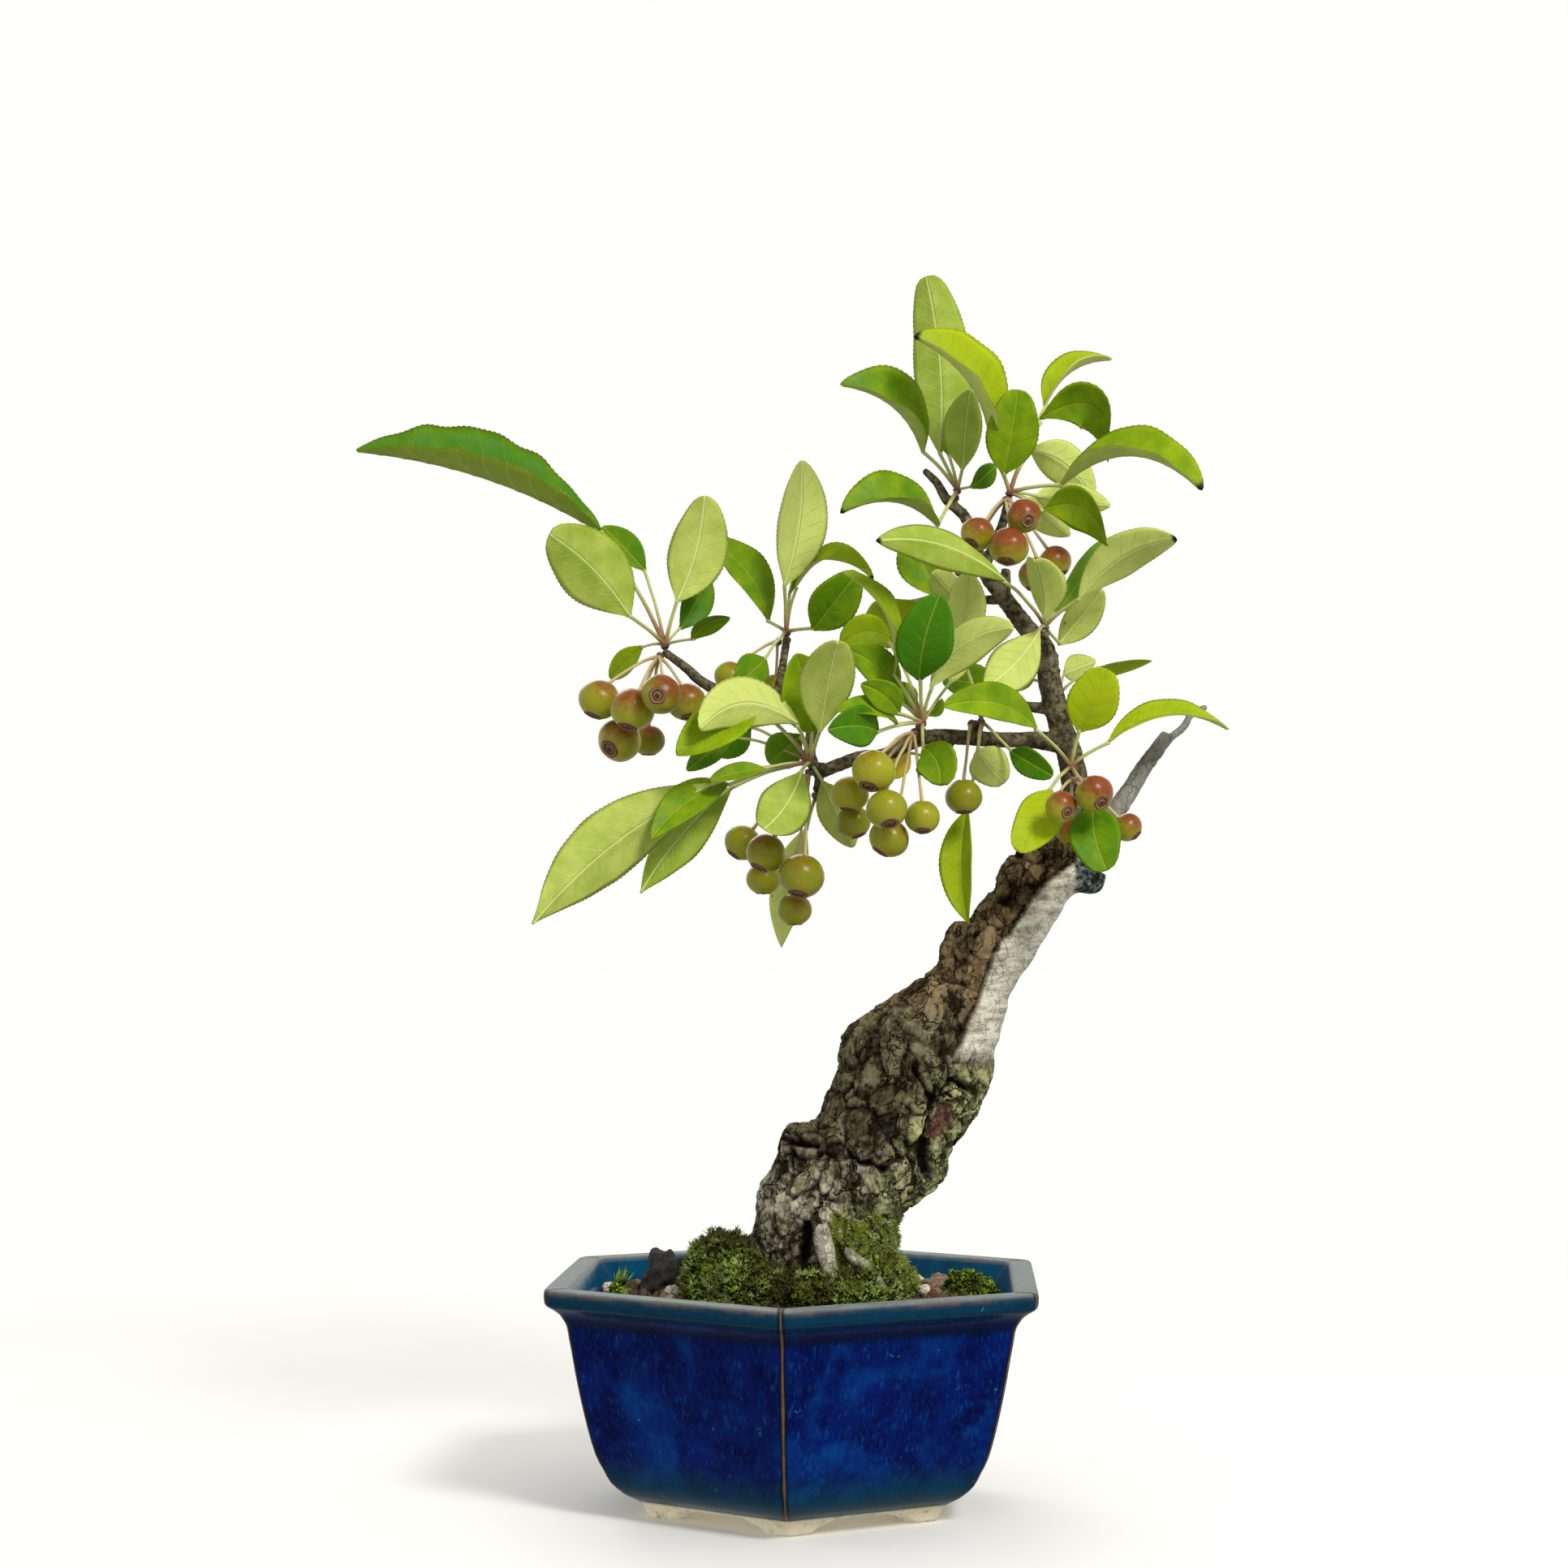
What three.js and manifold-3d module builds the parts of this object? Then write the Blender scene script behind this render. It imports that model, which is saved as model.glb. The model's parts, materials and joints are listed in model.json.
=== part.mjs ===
// A fruiting crabapple bonsai in a glazed hexagonal pot.
// Millimetres, +Z up, +X to the right and +Y away from the front. The origin lies on the pot's axis, on the
// surface that the feet stand on.
import * as THREE from 'three';
import { mergeVertices } from 'three/addons/utils/BufferGeometryUtils.js';
import Module from 'manifold-3d';

const wasm = await Module();
wasm.setup();

// Driving dimensions of the pot. Radii go to the hexagon's corners.
const POT_TURN = -3.4;          // degrees that the pot stands turned about its axis
const POT_HEIGHT = 87;
const FOOT_HEIGHT = 5;
const FOOT_TIP = 10;            // half the width of a foot on the surface, along the side
const FOOT_TOP = 21;            // half its width where the arch ends
const RING_INSIDE = 53;         // corner radius inside the ring that the feet are cut from
const RING_SIDE = 63;           // length of a side of that ring outside
const MOUTH = 96;
const FLOOR_TOP = 11;
const DRAIN_RADIUS = 9;
const CORNER_ROUND = 0.04;      // how far a corner is rounded, as a share of a side
const OUTSIDE = [               // corner radius, height
  [62, 0], [65, FOOT_HEIGHT], [67.8, 6.7], [73.9, 10], [78.6, 14.1], [84.7, 25], [90.5, 45.7], [94.3, 63.6],
  [96, 71.7], [99.5, 77.3], [105.3, 81], [106, 86.2], [105, POT_HEIGHT]];
const INSIDE = [
  [95.5, POT_HEIGHT], [91, 80], [88.5, 70], [83.5, 45], [76, 22], [64, FLOOR_TOP]];

// The filling and what lies on it
const CLEARANCE = 0.35;         // between pieces that touch
const SOIL_EDGE = 76.5;         // height of the soil at the pot's wall
const SOIL_MIDDLE = 81;
const SOIL_REACH = 89.3;        // corner radius of the soil's top
const SOIL_GAP = 0.6;           // between the soil's corners and the wall's
const SOIL_ROUGH = 0.9;         // how far the soil's surface wanders up and down
const SCREEN = 30;
const SCREEN_THICKNESS = 0.8;
const SCREEN_HOLES = 3;         // holes in a row
const ROOT_DEPTH = 48;          // height of the lowest roots, down in the soil
const MOSS_CUSHIONS = [         // middle, radius, stretch
  [[-27, -12, 82], 16, [1.05, 1, 1.45]],
  [[-31, 8, 82], 14, [1, 1.2, 1.45]],
  [[-31, -2, 82], 13, [0.95, 1, 1.25]],
  [[-22, -24, 80], 16, [1.1, 0.9, 1.1]],
  [[-12, -30, 79], 17, [1.3, 0.85, 0.9]],
  [[2, -32, 79], 15, [1.3, 0.8, 0.95]],
  [[16, -32, 79], 15, [1.3, 0.85, 0.9]],
  [[26, -25, 80], 13, [1.1, 1, 1.05]],
  [[31, -16, 81], 14, [0.95, 1.2, 1.2]],
  [[33, 8, 79], 14, [1, 1.3, 1.1]],
  [[12, 29, 78], 17, [1.4, 0.9, 0.9]],
  [[-18, 25, 79], 16, [1.2, 0.9, 1]]];

// The plant
const EYE = new THREE.Vector3(-5, -1096, 223);  // where the tree's front is seen from
const LEAF_THICKNESS = 0.6;
const LEAF_STEP = 8;            // length of a blade between two teeth
const TOOTH = 0.07;             // how far the leaf margin's teeth stand out, as a share of the half width
const BLADE_FOOT = 0.9;         // half width of a blade at its foot
const BLADE_WAVE = 0.012;       // how far a blade's edges wave, as a share of its width
const FRUIT_SIDES = 7;
const TRUNK_SIDES = 12;
const TRUNK_LUMP = 0.06;        // how far the trunk's lumps stand out, as a share of its half depth
const FOOT_STATIONS = 6;        // stations of the trunk that the moss is fitted round
const PETIOLE_RADIUS = 0.75;
const PETIOLE_STRAIGHT = 14;    // petioles shorter than this have no bend
const STALK_RADIUS = 0.7;
const SPUR_RADIUS = 1.7;        // of the knob that each spur ends in
const BUD_RADIUS = 1.7;         // of a bud, which sits before that knob and which leaves or stalks grow from
const BUD_LENGTH = 2.6;

const SLIVER = 0.02;            // smaller edges, left where pieces cross, are closed up

const radians = THREE.MathUtils.degToRad;
const at = (x, y, z) => new THREE.Vector3(x, y, z);

// A point of the tree, given by where it shows from the front in the trunk's plane and by its depth behind it
function seen([u, v, depth]) {
  const point = at(u, 0, v);
  return point.add(point.clone().sub(EYE).multiplyScalar(-depth / EYE.y));
}

// A repeatable wobble between -1 and 1
function wobble(a, b, seed) {
  const value = Math.sin(a * 127.1 + b * 311.7 + seed * 74.7) * 43758.5453;
  return 2 * (value - Math.floor(value)) - 1;
}

// A closed body through rings of points, each ring as long as the next, with a point at either end allowed.
// The columns from mirrored onwards are split along the other diagonal.
function loft(rings, mirrored = Infinity) {
  const positions = [];
  const triangles = [];
  const starts = rings.map((ring) => {
    const start = positions.length / 3;
    ring.forEach((point) => positions.push(point.x, point.y, point.z));
    return start;
  });
  const cap = (ring, start, reverse) => {
    if (ring.length === 1) {
      return;
    }
    if (ring.length === 3) {
      triangles.push(start, start + (reverse ? 2 : 1), start + (reverse ? 1 : 2));
      return;
    }
    const middle = positions.length / 3;
    const centre = ring.reduce((sum, point) => sum.add(point), new THREE.Vector3()).divideScalar(ring.length);
    positions.push(centre.x, centre.y, centre.z);
    ring.forEach((_, j) => {
      const a = start + j;
      const b = start + (j + 1) % ring.length;
      triangles.push(...(reverse ? [middle, b, a] : [middle, a, b]));
    });
  };
  cap(rings[0], starts[0], true);
  cap(rings.at(-1), starts.at(-1), false);
  for (let i = 0; i + 1 < rings.length; i += 1) {
    const low = rings[i];
    const high = rings[i + 1];
    const count = Math.max(low.length, high.length);
    for (let j = 0; j < count; j += 1) {
      const next = (j + 1) % count;
      const a = starts[i] + (low.length === 1 ? 0 : j);
      const b = starts[i] + (low.length === 1 ? 0 : next);
      const c = starts[i + 1] + (high.length === 1 ? 0 : next);
      const d = starts[i + 1] + (high.length === 1 ? 0 : j);
      const halves = j < mirrored ? [[a, b, c], [a, c, d]] : [[a, b, d], [b, c, d]];
      halves.filter(([p, q, r]) => p !== q && q !== r && r !== p).forEach((half) => triangles.push(...half));
    }
  }
  const geometry = new THREE.BufferGeometry();
  geometry.setAttribute('position', new THREE.Float32BufferAttribute(positions, 3));
  geometry.setIndex(triangles);
  return facingOut(geometry);
}

// Turns every triangle over where the faces point in
function facingOut(geometry) {
  const position = geometry.attributes.position;
  const index = geometry.index.array;
  const [a, b, c] = [new THREE.Vector3(), new THREE.Vector3(), new THREE.Vector3()];
  let volume = 0;
  for (let i = 0; i < index.length; i += 3) {
    a.fromBufferAttribute(position, index[i]);
    b.fromBufferAttribute(position, index[i + 1]);
    c.fromBufferAttribute(position, index[i + 2]);
    volume += a.dot(b.cross(c));
  }
  if (volume < 0) {
    for (let i = 0; i < index.length; i += 3) {
      [index[i + 1], index[i + 2]] = [index[i + 2], index[i + 1]];
    }
  }
  return geometry;
}

// A geometry with nothing but its points and triangles, and each point only once
function plain(geometry) {
  geometry.deleteAttribute('normal');
  geometry.deleteAttribute('uv');
  return mergeVertices(geometry, 1e-4);
}

function solidOf(geometry) {
  const merged = plain(geometry);
  return new wasm.Manifold(new wasm.Mesh({
    numProp: 3,
    vertProperties: new Float32Array(merged.attributes.position.array),
    triVerts: new Uint32Array(merged.index.array),
  }));
}

function joined(solids) {
  return solids.reduce((whole, solid) => whole.add(solid));
}

function meshOf(name, solid, colour, roughness) {
  const { vertProperties, triVerts } = solid.asOriginal().simplify(SLIVER).getMesh();
  const geometry = new THREE.BufferGeometry();
  geometry.setAttribute('position', new THREE.Float32BufferAttribute(vertProperties, 3));
  geometry.setIndex(Array.from(triVerts));
  geometry.computeVertexNormals();
  const mesh = new THREE.Mesh(geometry, new THREE.MeshStandardMaterial({ color: colour, roughness }));
  mesh.name = name;
  return mesh;
}

// A bent rod through points, each with its own radius, with flat ends. Rough is how far its surface wanders.
function rod(points, radii, sides, rough = 0, seed = 0) {
  const side = new THREE.Vector3(0, 1, 0);
  const rings = points.map((point, i) => {
    const before = points[Math.max(i - 1, 0)];
    const after = points[Math.min(i + 1, points.length - 1)];
    const along = after.clone().sub(before).normalize();
    side.addScaledVector(along, -side.dot(along)).normalize();
    const other = along.clone().cross(side);
    return Array.from({ length: sides }, (_, j) => {
      const angle = 2 * Math.PI * j / sides;
      const radius = radii[i] * (1 + rough * wobble(i, j, seed));
      return point.clone()
        .addScaledVector(side, radius * Math.cos(angle))
        .addScaledVector(other, radius * Math.sin(angle));
    });
  });
  return solidOf(loft(rings));
}

// A faceted knob, such as a bud, a pebble or a grain
function knob(centre, radius, stretch = [1, 1, 1], rough = 0, seed = 0) {
  const geometry = plain(new THREE.IcosahedronGeometry(radius, radius > 4 ? 1 : 0));
  const position = geometry.attributes.position;
  for (let i = 0; i < position.count; i += 1) {
    const scale = 1 + rough * wobble(i, 1, seed);
    position.setXYZ(i, position.getX(i) * stretch[0] * scale, position.getY(i) * stretch[1] * scale,
      position.getZ(i) * stretch[2] * scale);
  }
  geometry.translate(centre.x, centre.y, centre.z);
  return solidOf(geometry);
}

// The pot

// A hexagon's outline with rounded corners, at a height, three points to a corner
function hexagon(radius, height) {
  const corners = [-90, -30, 30, 90, 150, 210].map((turn) => {
    const angle = radians(turn + POT_TURN);
    return at(radius * Math.cos(angle), radius * Math.sin(angle), height);
  });
  const points = [];
  for (let corner = 0; corner < 6; corner += 1) {
    const tip = corners[corner];
    const flat = 1 - 0.3 * CORNER_ROUND;
    points.push(tip.clone().lerp(corners[(corner + 5) % 6], CORNER_ROUND));
    points.push(at(tip.x * flat, tip.y * flat, height));
    points.push(tip.clone().lerp(corners[(corner + 1) % 6], CORNER_ROUND));
  }
  return points;
}

function hexagonalBody(profile) {
  return solidOf(loft(profile.map(([radius, height]) => hexagon(radius, height))));
}

// A bar under the pot that cuts the arch between the feet out of two opposite sides
function archCut(turn) {
  const arch = new THREE.Shape();
  const reach = RING_SIDE / 2;
  arch.moveTo(-reach + FOOT_TIP, -1);
  arch.lineTo(-reach + FOOT_TIP, 0);
  arch.quadraticCurveTo(-reach + FOOT_TIP + 1, FOOT_HEIGHT * 0.7, -reach + FOOT_TOP, FOOT_HEIGHT * 0.94);
  arch.lineTo(reach - FOOT_TOP, FOOT_HEIGHT * 0.94);
  arch.quadraticCurveTo(reach - FOOT_TIP - 1, FOOT_HEIGHT * 0.7, reach - FOOT_TIP, 0);
  arch.lineTo(reach - FOOT_TIP, -1);
  arch.closePath();
  const depth = 2 * MOUTH;
  const geometry = new THREE.ExtrudeGeometry(arch, { depth, bevelEnabled: false, curveSegments: 3 });
  geometry.translate(0, 0, -depth / 2);
  geometry.rotateX(Math.PI / 2);
  geometry.rotateZ(radians(turn + POT_TURN));
  return solidOf(geometry);
}

function makePot() {
  const feet = [-60, 0, 60].map((turn) => archCut(turn + 30));
  const recess = hexagonalBody([[RING_INSIDE - 1, -1], [RING_INSIDE, FOOT_HEIGHT]]);
  const drain = new THREE.CylinderGeometry(DRAIN_RADIUS, DRAIN_RADIUS, 2 * FLOOR_TOP, 12);
  drain.rotateX(Math.PI / 2);
  drain.translate(0, 0, FLOOR_TOP);
  return hexagonalBody(OUTSIDE)
    .subtract(hexagonalBody([[MOUTH, POT_HEIGHT + 1], ...INSIDE]))
    .subtract(joined(feet))
    .subtract(recess)
    .subtract(solidOf(drain));
}

// The screen over the drain hole, a square of plastic net
function makeScreen() {
  const holes = [];
  const pitch = SCREEN / SCREEN_HOLES;
  const low = FLOOR_TOP + CLEARANCE;
  const sheet = new THREE.BoxGeometry(SCREEN, SCREEN, SCREEN_THICKNESS);
  sheet.translate(0, 0, low + SCREEN_THICKNESS / 2);
  for (let i = 0; i < SCREEN_HOLES; i += 1) {
    for (let j = 0; j < SCREEN_HOLES; j += 1) {
      const hole = new THREE.BoxGeometry(pitch * 0.7, pitch * 0.7, SCREEN_THICKNESS * 3);
      const first = (SCREEN_HOLES - 1) / 2;
      hole.translate((i - first) * pitch, (j - first) * pitch, low);
      holes.push(solidOf(hole));
    }
  }
  return solidOf(sheet).subtract(joined(holes));
}

// The soil: it fills the pot, rises a little towards the trunk and is rough on top
function soilBody(raised = 0) {
  const wall = INSIDE.filter(([, height]) => height < SOIL_EDGE && height > FLOOR_TOP).reverse();
  const rings = [hexagon(INSIDE.at(-1)[0] - SOIL_GAP, FLOOR_TOP + CLEARANCE)];
  wall.forEach(([radius, height]) => rings.push(hexagon(radius - SOIL_GAP, height)));
  rings.push(hexagon(SOIL_REACH, SOIL_EDGE + raised));
  [0.85, 0.54].forEach((share, i) => {
    const height = SOIL_EDGE + (SOIL_MIDDLE - SOIL_EDGE) * (1 - share) + raised;
    const ring = hexagon(share * SOIL_REACH, 0);
    rings.push(ring.map((point, j) => point.setZ(height + SOIL_ROUGH * wobble(i, j, 3))));
  });
  rings.push([at(0, 0, SOIL_MIDDLE + raised)]);
  return solidOf(loft(rings));
}

function makeSoil() {
  const pocket = new THREE.BoxGeometry(SCREEN + 1, SCREEN + 1, 2 * (SCREEN_THICKNESS + CLEARANCE));
  pocket.translate(0, 0, FLOOR_TOP + CLEARANCE);
  return soilBody().subtract(solidOf(pocket)).subtract(trunkFoot(CLEARANCE));
}

// What lies on the soil is cut to the soil's own surface, a clearance above it
function onSoil(solid) {
  return solid.subtract(soilBody(CLEARANCE));
}

// The moss: a hill at the trunk's left, cushions in front of it and behind it, and one on its right flank
function makeMoss() {
  const cushions = MOSS_CUSHIONS.map(([middle, radius, stretch], i) =>
    knob(at(...middle), radius, stretch, 0.07, i));
  return onSoil(joined(cushions)).subtract(trunkFoot(CLEARANCE));
}

const STONES = [                // name, middle, radius, stretch, colour
  ['pumice_1', [-74, 21, 79], 2.6, [1, 1, 0.9], 0xe9e2d2],
  ['pumice_2', [-48, -3, 80], 3.2, [1, 1, 0.9], 0xe9e2d2],
  ['pumice_3', [49, 41, 79], 2.6, [1, 1, 1], 0xe9e2d2],
  ['pumice_4', [49.5, 2, 80], 2.8, [1, 1, 0.9], 0xe9e2d2],
  ['pumice_5', [4, -50, 79], 2.2, [1, 1, 0.9], 0xe9e2d2],
  ['brown_stone_1', [55, 16, 80], 5, [1.1, 1, 0.8], 0x7a5d4a],
  ['brown_stone_2', [57, 30, 80], 4.5, [1, 1.1, 0.8], 0x6b5244],
  ['dark_lump', [-52, 14, 83], 8, [1, 0.9, 1.2], 0x1c1b18],
  ['moss_clump', [67, 4, 79], 7.5, [1.3, 1.3, 1.35], 0x4f8a1e],
  ['moss_tuft', [-69, 6, 79], 5, [1, 1.2, 0.9], 0x6a8a2a]];

// Where each spur ends, and which way its leaves and its fruit stalks leave it
const SPURS = {
  left: { end: [-51, 328, 0], leaves: [-0.2, 0.3, 1], fruits: [-0.9, -0.5, -0.5] },
  upperLeft: { end: [-4, 333, 21], leaves: [0, 0.2, 1], fruits: [-1, 0.1, -0.1] },
  lowerLeft: { end: [6, 284, -31], leaves: [-0.3, -1, 0.3], fruits: [-0.4, -0.3, -1] },
  front: { end: [48, 299, -34], leaves: [0.3, -1, 0.5], fruits: [-0.8, -0.4, -0.8] },
  branch: { end: [70, 300, -17], leaves: [0.8, -1, 0.3], fruits: [-0.8, -1, 0] },
  apexLeft: { end: [62, 389, 3], leaves: [0.3, 0, 1] },
  apexRight: { end: [83, 388, -8], leaves: [0.2, 0.3, 1], fruits: [-0.5, -1, -0.1] },
  leader: { end: [97, 335, -11], leaves: [0, -0.2, 1] },
  base: { end: [107, 280, -20], leaves: [0, 0.2, 1], fruits: [0, -1, -0.7] },
  inner: { end: [71, 349, 14], leaves: [-0.8, 0.2, 0.6] },
  stub: { end: [83, 308, 6], leaves: [-1, 0.2, 0.2] },
  behind: { end: [103, 309, 11], leaves: [0, 0.3, 1] },
  low: { end: [60, 286, -17], leaves: [-0.6, 0.2, -0.8] },
  under: { end: [8, 275, -16], leaves: [-0.2, 0.4, -1] },
};

// Leaves by spur: base, tip, width, turn, arch, bow, fold, twist, bluntness
const LEAVES = {
  left: [
    [[-76, 376, -6], [-173, 408, -34], 42, 75, 3, 3, 38, -4, -0.25],
    [[-59, 360, 11], [-76, 378, 17], 13, 20, 1, 0, 15, 0, 0],
    [[-65, 342, -14], [-97, 375, -31], 28, 185, 3, 3, 10, 0, 0.12],
    [[-47, 348, -3], [-36, 390, 0], 24, 170, 3, 2, 12, 0, 0.12],
    [[-46, 337, 14], [-35, 358, 28], 14, 20, 2, 0, 15, 0, 0.1],
    [[-41, 333, -11], [-26, 342, -20], 10, 40, 1, -3, 15, 0, 0],
    [[-60, 331, 6], [-73, 318, 17], 10, 20, 1, 0, 12, 0, 0],
  ],
  upperLeft: [
    [[-12, 326, -6], [-24, 315, -20], 14, 0, 1, 0, 10, 0, 0],
    [[-5, 354, 11], [2, 404, 6], 22, 165, 3, 2, 20, 0, 0],
    [[-3, 350, 22], [4, 401, 31], 13, 60, 2, 0, 20, 0, 0],
    [[-11, 340, 25], [-37, 373, 42], 18, 30, 2, 5, 18, 0, -0.1],
    [[6, 337, 6], [24, 360, -8], 19, 5, 2, 0, 12, 0, 0.1],
    [[-1, 354, 20], [30, 357, 8], 14, -60, 2, -9, 20, 0, 0],
  ],
  lowerLeft: [
    [[6, 296, -32], [0, 328, -46], 24, 12, 2, 0, 25, 0, 0],
    [[9, 297, -48], [16, 333, -70], 22, 195, 2, 0, 15, 0, 0.1],
    [[1, 300, -46], [-38, 298, -68], 21, 178, 3, 9, 18, 0, 0],
    [[-17, 309, -42], [-47, 288, -62], 22, 25, 3, -2, 25, 0, 0],
    [[-25, 296, -20], [-43, 282, -25], 10, 10, 1, 0, 12, 0, 0],
    [[-18, 300, -11], [-31, 288, -8], 13, 0, 1, 0, 10, 0, 0.1],
    [[2, 296, -34], [-11, 285, -25], 15, 0, 1, 0, 10, 0, 0],
    [[2, 282, -48], [-13, 259, -70], 20, 180, 2, -2, 10, 0, 0.12],
    [[-33, 277, -42], [-103, 222, -78], 27, 165, 4, 4, 15, 0, -0.45],
    [[-25, 276, -28], [-61, 234, -39], 18, 200, 2, 3, 15, 0, -0.45],
    [[-26, 277, -34], [-57, 255, -59], 15, 20, 2, 3, 15, 0, -0.2],
    [[-12, 283, -39], [-34, 278, -50], 9, 40, 1, 0, 15, 0, 0],
    [[10, 278, -31], [22, 252, -22], 15, 180, 2, 0, 12, 0, 0],
  ],
  front: [
    [[48, 317, -48], [56, 351, -62], 22, 5, 4, -2, 12, 0, 0.1],
    [[38, 319, -42], [18, 360, -59], 17, 72, 2, 6, 20, 0, 0],
    [[39, 310, -36], [18, 330, -53], 15, 20, 2, 3, 15, 0, 0],
    [[37, 333, -8], [17, 331, -11], 14, 10, 2, 4, 15, 0, 0],
    [[40, 304, -48], [25, 316, -64], 12, 0, 1, 2, 10, 0, 0],
    [[45, 305, -22], [39, 317, -20], 10, 30, 1, 0, 15, 0, 0],
    [[36, 304, -22], [24, 310, -17], 9, 10, 1, 0, 10, 0, 0.1],
    [[40, 300, -45], [15, 305, -70], 11, 50, 2, 2, 20, 0, 0],
    [[32, 297, -53], [12, 298, -76], 16, 0, 2, 2, 12, 0, 0],
    [[52, 314, -45], [85, 338, -64], 17, 160, 3, -7, 15, 0, 0],
    [[60, 316, -31], [67, 336, -34], 12, 190, 2, 0, 12, 0, 0],
    [[50, 304, -31], [57, 310, -28], 7, 40, 1, 0, 30, 0, 0],
    [[49, 291, -42], [56, 276, -48], 17, 10, 2, -3, 12, 0, 0.2],
  ],
  branch: [
    [[64, 330, -8], [67, 360, -20], 16, 170, 3, 0, 15, 0, 0],
    [[70, 290, -24], [81, 277, -17], 16, 180, 2, 0, 12, 0, 0.2],
    [[83, 290, -22], [100, 280, -36], 11, 10, 1, 0, 12, 0, 0.2],
    [[67, 268, -14], [67, 222, -25], 17, 30, 2, 2, 30, 0, -0.3],
  ],
  apexLeft: [
    [[56, 406, 3], [51, 477, 20], 25, 165, 5, 2, 12, 0, 0.26],
    [[50, 407, -3], [17, 434, -25], 29, 63, 3, 4, 36, 0, -0.15],
    [[60, 405, 17], [50, 434, 48], 18, 20, 2, 0, 15, 0, 0],
    [[65, 400, -4], [68, 432, -8], 17, 200, 2, 0, 15, 0, 0],
    [[68, 393, 0], [78, 402, 6], 9, 20, 1, 0, 10, 0, 0],
    [[56, 378, -8], [17, 383, -28], 25, 60, 3, 5, 36, 4, -0.15],
  ],
  apexRight: [
    [[77, 408, -11], [46, 453, -34], 31, 64, 3, 5, 38, 0, 0],
    [[81, 398, -14], [87, 432, -25], 21, 10, 2, 0, 12, 0, 0.2],
    [[97, 425, 14], [124, 444, 25], 17, -64, 2, -4, 36, 0, -0.2],
    [[95, 420, -6], [122, 403, -17], 20, 0, 2, -15, 15, 50, 0],
    [[91, 408, 6], [116, 389, 25], 17, 180, 3, -4, 12, 0, 0.1],
    [[103, 394, -17], [159, 392, -45], 25, -66, 2, -11, 38, 0, 0],
    [[93, 390, -3], [123, 386, 11], 14, 190, 2, 0, 15, 0, 0],
    [[90, 389, 6], [107, 374, 31], 14, 175, 2, 0, 12, 0, 0],
    [[96, 384, -14], [122, 370, -36], 17, 0, 2, -8, 15, 40, 0],
  ],
  leader: [
    [[82, 356, -48], [31, 372, -78], 17, 205, 3, 7, 20, 0, -0.15],
    [[95, 337, -31], [74, 315, -50], 19, 180, 2, -2, 12, 0, 0],
    [[97, 341, -39], [93, 365, -59], 19, 150, 2, 0, 30, 0, 0.15],
    [[100, 343, 6], [122, 373, 25], 15, 30, 2, 0, 15, 0, 0],
    [[110, 349, -20], [149, 373, -45], 18, 200, 3, -4, 15, 0, 0],
    [[102, 331, -3], [120, 353, -8], 14, 170, 2, 0, 15, 0, 0],
  ],
  base: [
    [[94, 298, -36], [57, 307, -62], 16, 25, 2, 5, 18, 0, 0],
    [[99, 275, -31], [85, 251, -50], 18, 0, 2, -2, 12, 0, 0.2],
    [[116, 269, -39], [121, 243, -53], 20, 0, 2, 2, 10, 0, 0.22],
    [[110, 297, -25], [121, 322, -34], 20, 5, 2, 0, 12, 0, 0.24],
    [[121, 293, -22], [169, 298, -12], 16, -62, 2, -7, 20, 0, -0.2],
  ],
  inner: [
    [[58, 361, 20], [41, 371, 36], 14, 15, 2, 0, 12, 0, 0],
    [[55, 350, 14], [45, 373, 20], 25, 10, 2, 0, 25, 0, 0],
    [[64, 348, 3], [53, 360, -8], 12, 185, 1, 0, 12, 0, 0],
    [[47, 349, 22], [26, 338, 42], 21, 0, 2, -3, 12, 0, 0],
  ],
  stub: [
    [[92, 321, 24], [87, 333, 32], 9, 190, 1, 0, 15, 0, 0],
    [[79, 310, -4], [57, 317, 2], 16, 20, 2, 2, 12, 0, 0],
  ],
  behind: [
    [[93, 318, 14], [76, 314, 7], 11, 30, 1, 0, 15, 0, 0],
    [[104, 320, 22], [117, 325, 39], 11, 190, 1, 0, 12, 0, 0],
    [[112, 320, 11], [139, 325, 17], 11, 60, 1, -2, 20, 0, -0.2],
  ],
  low: [
    [[44, 290, -13], [36, 279, -10], 10, 10, 1, 0, 10, 0, 0],
  ],
  under: [
    [[4, 260, -6], [-6, 213, 4], 16, 200, 2, 4, 20, 0, -0.25],
  ],
};

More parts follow.
